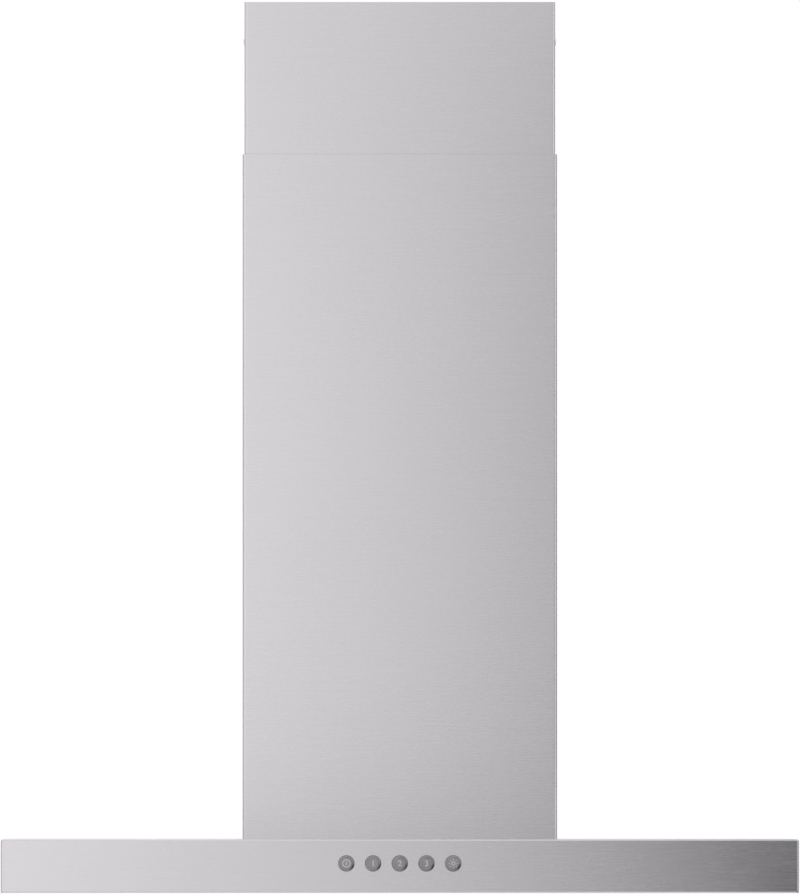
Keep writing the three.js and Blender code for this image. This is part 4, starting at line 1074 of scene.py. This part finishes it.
def make_crimped_core():
    """The crimped foil between the two expanded sheets."""
    width, depth = (high - low for low, high in PAD[:2])
    crimps, half_rise = 32, 2.2
    deselect()
    bpy.ops.mesh.primitive_grid_add(x_subdivisions=8 * crimps, y_subdivisions=1, size=1)
    core = settle("core")
    core.scale = (width * MM, depth * MM, 1)
    put(core, (0, sum(PAD[1]) / 2, 5.9))
    shape(core)
    bpy.ops.mesh.select_mode(type="VERT")
    mesh = bmesh.from_edit_mesh(core.data)
    for corner in mesh.verts:
        corner.co.z += half_rise * MM * math.sin(corner.co.x / (width * MM) * crimps * math.pi)
    bmesh.update_edit_mesh(core.data)
    done()
    modify(core, "SOLIDIFY", thickness=0.4 * MM, offset=0)
    return core


def make_filter_pad():
    pad = weld("pad", make_expanded_sheet(3.2), make_expanded_sheet(8.9), make_crimped_core())
    pierce(pad, block("cut", around(0, 30.4), (-130, -91.2), (0, 12)))
    return pad


def make_latch():
    """The sliding latch, with ribs for the finger."""
    front, rear = -119.2, -104.2
    plate = block("plate", around(0, 21.6), (front, rear), (5.8, 7.9))
    wings = block("wings", around(0, 23.6), (front, rear), (6.0, 7.7))
    grip = block("grip", around(0, 21.6), (rear - 3, rear), (1.0, 6.8))
    round_edges(grip, lambda at, along: abs(along.x) > STRAIGHT and at.z < 1.2, 1.2, 4)
    bolt = block("bolt", around(0, 10), (-128, front + 2), (1.9, 3.9))
    round_edges(bolt, lambda at, along: abs(along.x) > STRAIGHT and at.y < -127 and at.z > 3, 1.4)
    web = block("web", around(0, 10), (front, front + 2), (1.9, 6.8))
    ribs = [block("rib", around(0, 18), (y, y + 0.8), (5.35, 5.9)) for y in (-116, -114, -112, -110)]
    parts = [plate, wings, grip, bolt, web, *ribs]
    for part in parts:
        ease(part, 0.2)
    return weld("latch", *parts)


def make_filters():
    spring_front, spring_back = extent("latch_spring_left")[1]
    spring_z = 6.85
    spring = coil("coil", "y", (0, spring_front, spring_z), 0.95, 0.22, spring_back - spring_front, 6)
    models = {
        "filter_rails_": (make_rails(), "filter_", ALUMINIUM, "aluminium", "filter_frame_"),
        "filter_pad_": (make_filter_pad(), "filter_", FILTER_STRAND, "filter_mesh", "filter_mesh_"),
        "latch_slider_": (make_latch(), "latch_", DARK_PLASTIC, "dark_plastic", "filter_latch_"),
        "latch_coil_": (spring, "filter_", SPRING_WIRE, "zinc_steel", "latch_spring_"),
    }
    for side, x in (("left", -FILTER_X), ("right", FILTER_X)):
        for name, (model, body, material, slot, node) in models.items():
            piece = twin(model, name + side, (x, 0, 0))
            finish_piece(piece, body + side, material, node + side)
        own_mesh(bpy.data.objects["latch_coil_" + side])
    for model, *_ in models.values():
        bpy.data.objects.remove(model)


make_filters()

# ---- other pieces, from their solids


def eased_copy(node, name, width):
    """A copy of a solid with flat faces in one piece and eased edges."""
    source = frame["nodes"][node]
    piece = source.copy()
    piece.data = source.data.copy()
    piece.name = piece.data.name = name
    for key in list(piece.keys()):
        del piece[key]
    piece.parent = None
    bpy.context.scene.collection.objects.link(piece)
    shape(piece)
    pick_all()
    bpy.ops.mesh.remove_doubles(threshold=0.002 * MM)
    bpy.ops.mesh.dissolve_limited(angle_limit=math.radians(1))
    done()
    ease(piece, width)
    return piece


BODY_OF = {node: body for body, nodes in frame["record"]["behaviour"]["bodies"].items() for node in nodes}

# By finish and slot: each solid, the piece made from it and how wide its edges are eased.
REWORKED = [
    (GALVANISED, "galvanised_steel", [
        ("ceiling_bracket", "wall_bracket", 0.3), ("capacitor_clip", "capacitor_strap", 0.2),
        ("blower_housing", "fan_housing", 0.4), ("motor_bracket", "motor_mount", 0.3)]),
    (DARK_PLASTIC, "dark_plastic", [
        ("switch_housing", "switch_case", 0.3), ("cable_gland", "inlet_gland", 0.4),
        ("scroll_left", "fan_scroll_left", 0.12), ("scroll_right", "fan_scroll_right", 0.12),
        ("duct_collar", "duct_ring", 0.3), ("damper_flap_front", "damper_blade_front", 0.3),
        ("damper_flap_rear", "damper_blade_rear", 0.3)]),
    (GREY_PLASTIC, "grey_plastic", [
        ("led_driver", "lamp_driver", 0.8), ("terminal_box", "wiring_box", 0.5),
        ("terminal_lid", "wiring_box_lid", 0.7)]),
    (ZINC, "zinc_steel", [
        ("switch_nut_left", "stud_nut_left", 0.15), ("switch_nut_right", "stud_nut_right", 0.15),
        ("impeller_nut", "shaft_nut", 0.3), ("motor_shaft", "fan_shaft", 0.4),
        ("damper_pin", "damper_rod", 0.2), ("housing_screw_left", "fan_screw_left", 0.4),
        ("housing_screw_right", "fan_screw_right", 0.4)]),
    (ALUMINIUM, "aluminium", [("capacitor", "run_capacitor", 0.5)]),
    (MOTOR_PAINT, "motor_paint", [("motor", "fan_motor", 0.8)]),
]

SWAGE_HEIGHTS = (80, 125, 170, 215, 260)
SWAGE_HALF_LENGTH = 72
SWAGE_HALF_WIDTH = 8
SWAGE_SLOPE, SWAGE_DEPTH = 3.2, 1.7
COLLAR_Y = middle("duct_collar")[1]


def add_swages(housing):
    """Pressed ribs in the back of the fan housing."""
    def back(at, normal):
        return at.y > WALL - 1.5 and abs(normal.y) > STRAIGHT

    def swage(at, normal):
        return back(at, normal) and abs(at.x) < SWAGE_HALF_LENGTH - 2 and any(
            abs(at.z - z) < SWAGE_HALF_WIDTH / 2 for z in SWAGE_HEIGHTS)

    shape(housing)
    divide_faces(housing, back, [("x", x) for x in around(0, SWAGE_HALF_LENGTH)] + [
        ("z", edge) for z in SWAGE_HEIGHTS for edge in around(z, SWAGE_HALF_WIDTH)])
    pick_faces(housing, swage)
    bpy.ops.mesh.inset(thickness=SWAGE_SLOPE * MM, depth=0)
    bpy.ops.transform.translate(value=(0, -SWAGE_DEPTH * MM, 0))
    done()


def add_collar_ribs(ring):
    """A snap bead round the top and webs down to the flange."""
    bead = turned("bead", "z", (0, COLLAR_Y, 0), [
        (74.2, 383.5), (75.1, 384.6), (75.3, 385.4), (75.1, 386.2), (74.2, 387.3), (74.2, 383.5)], 96)
    webs = []
    for step in range(12):
        web = block("web", (74.2, 80.5), around(0, 0.7), (342.8, 352))
        round_edges(web, lambda at, along: abs(along.y) > STRAIGHT and at.z > 351 and at.x > 80, 6)
        webs.append(put(web, (0, COLLAR_Y, 0), (0, 0, (step + 0.5) * math.pi / 6)))
    return weld("duct_ring", ring, bead, *webs)


for material, slot, pieces in REWORKED:
    for node, name, width in pieces:
        piece = eased_copy(node, name, width)
        if node == "blower_housing":
            add_swages(piece)
        if node == "duct_collar":
            piece = add_collar_ribs(piece)
        finish_piece(piece, BODY_OF[node], material, node)

# ---- leads

LAMP_ROUTE = [
    (50.3, -165, 11), (58.3, -165, 10.6), (72.3, -166, 6), (99.5, -167, 4), (126.7, -166, 6),
    (140.7, -165, 10.6), (148.7, -165, 11)]
MOTOR_ROUTE = [
    (-53.3, 99.5, 150), (-63, 99.5, 151), (-74, 93.5, 158), (-80, 79.5, 174), (-78, 64, 189),
    (-76, 54, 204), (-76, 44, 205), (-76, 35, 205)]
SWITCH_ROUTE = [(SWITCH_LEAD_X, y, z) for y, z in (
    (-196.1, 24.5), (-188.1, 25), (-170.1, 33), (-136.1, 33), (-90.05, 33), (-24, 33), (2, 33),
    (13, 37), (17, 46), (23, 70), (27, 140), (27, 172), (27, 188))]

# Each lead's solid, then its piece, its diameter and its route.
LEADS = {
    "lamp_lead_left": ("lamp_cable_left", 3.0, [(-x, y, z) for x, y, z in LAMP_ROUTE]),
    "lamp_lead_right": ("lamp_cable_right", 3.0, LAMP_ROUTE),
    "motor_lead": ("motor_cable", 4.4, MOTOR_ROUTE),
    "switch_lead": ("switch_cable", 4.4, SWITCH_ROUTE),
}


def make_leads():
    for node, (name, diameter, route) in LEADS.items():
        curve = bpy.data.curves.new(name, "CURVE")
        curve.dimensions = "3D"
        curve.bevel_depth = diameter / 2 * MM
        curve.bevel_resolution = 4
        curve.use_fill_caps = True
        line = curve.splines.new("BEZIER")
        line.bezier_points.add(len(route) - 1)
        for point, place in zip(line.bezier_points, route):
            point.co = [v * MM for v in place]
            point.handle_left_type = point.handle_right_type = "AUTO"
        lead = bpy.data.objects.new(name, curve)
        bpy.context.scene.collection.objects.link(lead)
        bpy.context.view_layer.update()
        curve.materials.append(CABLE_JACKET)
        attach(lead, "hood")
        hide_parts(node)


make_leads()

# ---- solids kept as they are

CARRIED = {"switch_board": CIRCUIT_BOARD, "control_board": CIRCUIT_BOARD, "impeller": GREY_PLASTIC}

for name, material in CARRIED.items():
    for slot in frame["nodes"][name].material_slots:
        slot.material = material
